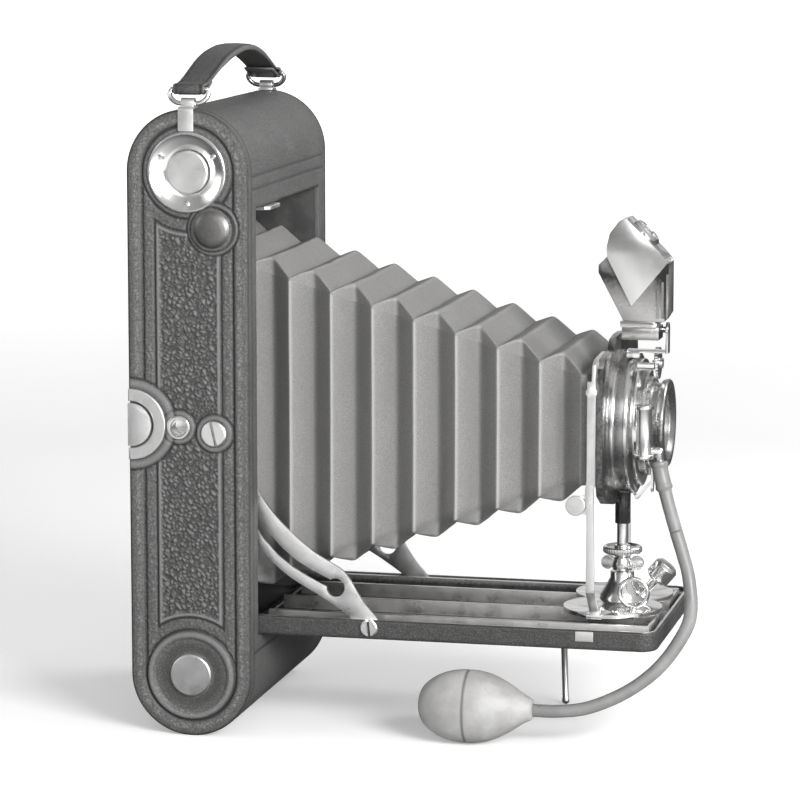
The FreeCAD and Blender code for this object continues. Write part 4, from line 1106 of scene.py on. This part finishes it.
def plug_slot_shadow(middle, normal):
    """Walls and floor of the plug's slot, whichever way they face, which are painted black as the shadow in
    the slot.
    """
    x, y, z = middle
    return HEAD_X + 0.3 < x < HEAD_X + 2.5 and abs(y - PLUG[0]) < 3.4 and z > 100


def rail_top(middle, normal):
    return normal.z > 0.9 and middle[2] > RAIL_LEVEL


# The plug's slot is painted black: a painted shadow in the recess of the nickel head.
SECOND_FINISH = {"slotted_screws": ("black", plug_slot_shadow), "bed_rails": ("satin_nickel", rail_top),
                 "bed": ("satin_nickel", rail_top)}


def add_second_finish(obj, material, chooses):
    obj.data.materials.append(material)
    for face in obj.data.polygons:
        face.material_index = 1 if chooses(face_middle(face), face.normal) else 0


SMOOTH_BELOW = 34       # edges flatter than this many degrees are shaded smooth
EDGE_ABOVE = 40         # and sharper ones than this are rounded
EDGE_WIDTH = 0.12
WELD_DISTANCE = 0.002


def shading_group():
    """Geometry nodes that smooth every edge flatter than a limit."""
    group = bpy.data.node_groups.new("smooth_by_angle", "GeometryNodeTree")
    group.interface.new_socket("Geometry", in_out="INPUT", socket_type="NodeSocketGeometry")
    group.interface.new_socket("Geometry", in_out="OUTPUT", socket_type="NodeSocketGeometry")
    start = group.nodes.new("NodeGroupInput")
    end = group.nodes.new("NodeGroupOutput")
    angle = group.nodes.new("GeometryNodeInputMeshEdgeAngle")
    flat = group.nodes.new("FunctionNodeCompare")
    flat.data_type = "FLOAT"
    flat.operation = "LESS_THAN"
    flat.inputs[1].default_value = math.radians(SMOOTH_BELOW)
    faces = group.nodes.new("GeometryNodeSetShadeSmooth")
    faces.domain = "FACE"
    edges = group.nodes.new("GeometryNodeSetShadeSmooth")
    edges.domain = "EDGE"
    group.links.new(start.outputs[0], faces.inputs["Geometry"])
    group.links.new(angle.outputs["Unsigned Angle"], flat.inputs[0])
    group.links.new(faces.outputs["Geometry"], edges.inputs["Geometry"])
    group.links.new(flat.outputs["Result"], edges.inputs["Shade Smooth"])
    group.links.new(edges.outputs["Geometry"], end.inputs[0])
    return group


def finish_cad_nodes():
    smoothing = shading_group()
    for name, obj in NODES.items():
        material = MATERIALS[CAD_FINISH.get(name, "nickel")]
        obj.data.materials.clear()
        obj.data.materials.append(material)
        if name in SECOND_FINISH:
            second, chooses = SECOND_FINISH[name]
            add_second_finish(obj, MATERIALS[second], chooses)
        weld = obj.modifiers.new("weld", "WELD")
        weld.merge_threshold = WELD_DISTANCE * MM
        if name not in ("lens_glass", "iris", "red_window"):
            bevel = obj.modifiers.new("soft_edges", "BEVEL")
            bevel.width = EDGE_WIDTH * MM
            bevel.segments = 2
            bevel.limit_method = "ANGLE"
            bevel.angle_limit = math.radians(EDGE_ABOVE)
            bevel.harden_normals = False
        shade = obj.modifiers.new("shading", "NODES")
        shade.node_group = smoothing


# ---- studio ----
def build_floor():
    """Wide pale floor that glows for the camera, more far off, so that it ends in plain white. Seen in
    reflections it is near black behind and beside the body: a painted dark reflection for the metal.
    """
    half = 12.0         # metres
    mesh = bpy.data.meshes.new("floor")
    mesh.from_pydata([(x * half, y * half, 0.0) for x, y in ((-1, -1), (1, -1), (1, 1), (-1, 1))], [],
                     [(0, 1, 2, 3)])
    floor = bpy.data.objects.new("floor", mesh)
    bpy.context.scene.collection.objects.link(floor)
    material = blank_material("floor")
    tree = material.node_tree
    mottle = cloud(tree, place(tree), 60.0, 5.0)
    seen = node(tree, "ShaderNodeLightPath").outputs["Is Camera Ray"]
    reflected = node(tree, "ShaderNodeLightPath").outputs["Is Glossy Ray"]
    spot_source = node(tree, "ShaderNodeNewGeometry").outputs["Position"]
    spot = node(tree, "ShaderNodeSeparateXYZ", {0: spot_source})
    behind = curve(tree, spot.outputs["X"], -0.4, -0.12, 0.0, 0.94)
    tint = blend(tree, mottle, grey(0.76), grey(0.80))
    beside = product(tree, curve(tree, spot.outputs["Y"], 0.12, 0.4, 0.0, 0.9),
                     curve(tree, spot.outputs["X"], -0.9, -0.5, 0.0, 1.0))
    # Painted reflection: glossy rays find a near black floor behind and beside the body.
    dark = product(tree, reflected, maths(tree, "MAXIMUM", behind, beside))
    tint = blend(tree, dark, tint, grey(0.05))
    far = node(tree, "ShaderNodeVectorMath", {0: spot_source}, operation="LENGTH").outputs["Value"]
    glow = product(tree, seen, curve(tree, far, 0.7, 2.2, 0.30, 1.0))
    surface(tree, tint, curve(tree, mottle, 0.3, 0.7, 0.8, 0.95), Emission_Color=grey(1.0),
            Emission_Strength=glow, Specular_IOR_Level=0.2)
    mesh.materials.append(material)


def area_light(name, place_mm, target_mm, size, power):
    """Square lamp of size metres that the camera doesn't see."""
    light = bpy.data.lights.new(name, "AREA")
    light.shape = "RECTANGLE"
    light.size = size
    light.size_y = size
    light.energy = power
    obj = bpy.data.objects.new(name, light)
    obj.location = at(*place_mm)
    aim = at(*target_mm) - obj.location
    obj.visible_camera = False
    obj.rotation_euler = aim.to_track_quat("-Z", "Y").to_euler()
    bpy.context.scene.collection.objects.link(obj)


def build_studio():
    build_floor()
    area_light("key", (-950, -1000, 620), (0, -60, 120), 0.6, 27)
    area_light("fill", (-1500, -250, 900), (0, 0, 120), 0.9, 3.5)
    area_light("rim", (500, -900, 900), (0, -60, 120), 0.5, 5)
    area_light("side", (-450, 1000, 520), (-60, 0, 160), 0.7, 2.2)
    world = bpy.data.worlds.new("studio")
    world.use_nodes = True
    tree = world.node_tree
    tree.nodes.clear()
    direction = node(tree, "ShaderNodeTexCoord").outputs["Generated"]
    lean = node(tree, "ShaderNodeVectorMath", {0: direction, 1: (-0.35, -0.6, 0.7)}, operation="DOT_PRODUCT")
    ramp = curve(tree, lean.outputs["Value"], -0.4, 0.95, 0.0, 1.0)
    colour = blend(tree, ramp, grey(0.08), grey(0.70))
    ahead = node(tree, "ShaderNodeVectorMath", {0: direction, 1: (0.95, 0.28, 0.14)}, operation="DOT_PRODUCT")
    card = curve(tree, ahead.outputs["Value"], 0.86, 0.96, 0.0, 1.0)
    colour = blend(tree, card, colour, grey(0.85))
    back = node(tree, "ShaderNodeBackground", {"Color": colour, "Strength": 0.8})
    node(tree, "ShaderNodeOutputWorld", {"Surface": back.outputs["Background"]})
    bpy.context.scene.world = world


CAMERA_PLACE = (-1365.5, -380.8, 334.4)
CAMERA_DOWN = 0.149     # radians below level
CAMERA_TURN = -1.346
FOCAL_LENGTH = 162.7


def build_camera():
    camera = bpy.data.cameras.new("view")
    camera.sensor_width = 36.0
    camera.lens = FOCAL_LENGTH
    camera.clip_start = 0.05
    obj = bpy.data.objects.new("view", camera)
    obj.location = at(*CAMERA_PLACE)
    obj.rotation_euler = (math.pi / 2 - CAMERA_DOWN, 0.0, CAMERA_TURN)
    bpy.context.scene.collection.objects.link(obj)
    bpy.context.scene.camera = obj


finish_cad_nodes()
build_end_leathers()
wrap("wrap_front", True, "body_leather")
wrap("wrap_back", False, "back_leather")
build_bellows()
build_strap()
build_bed_leather()
build_hose()
build_bulb()
build_bed_tongue()
build_studio()
build_camera()
bpy.context.scene.view_settings.view_transform = "Standard"
bpy.context.scene.view_settings.look = "None"
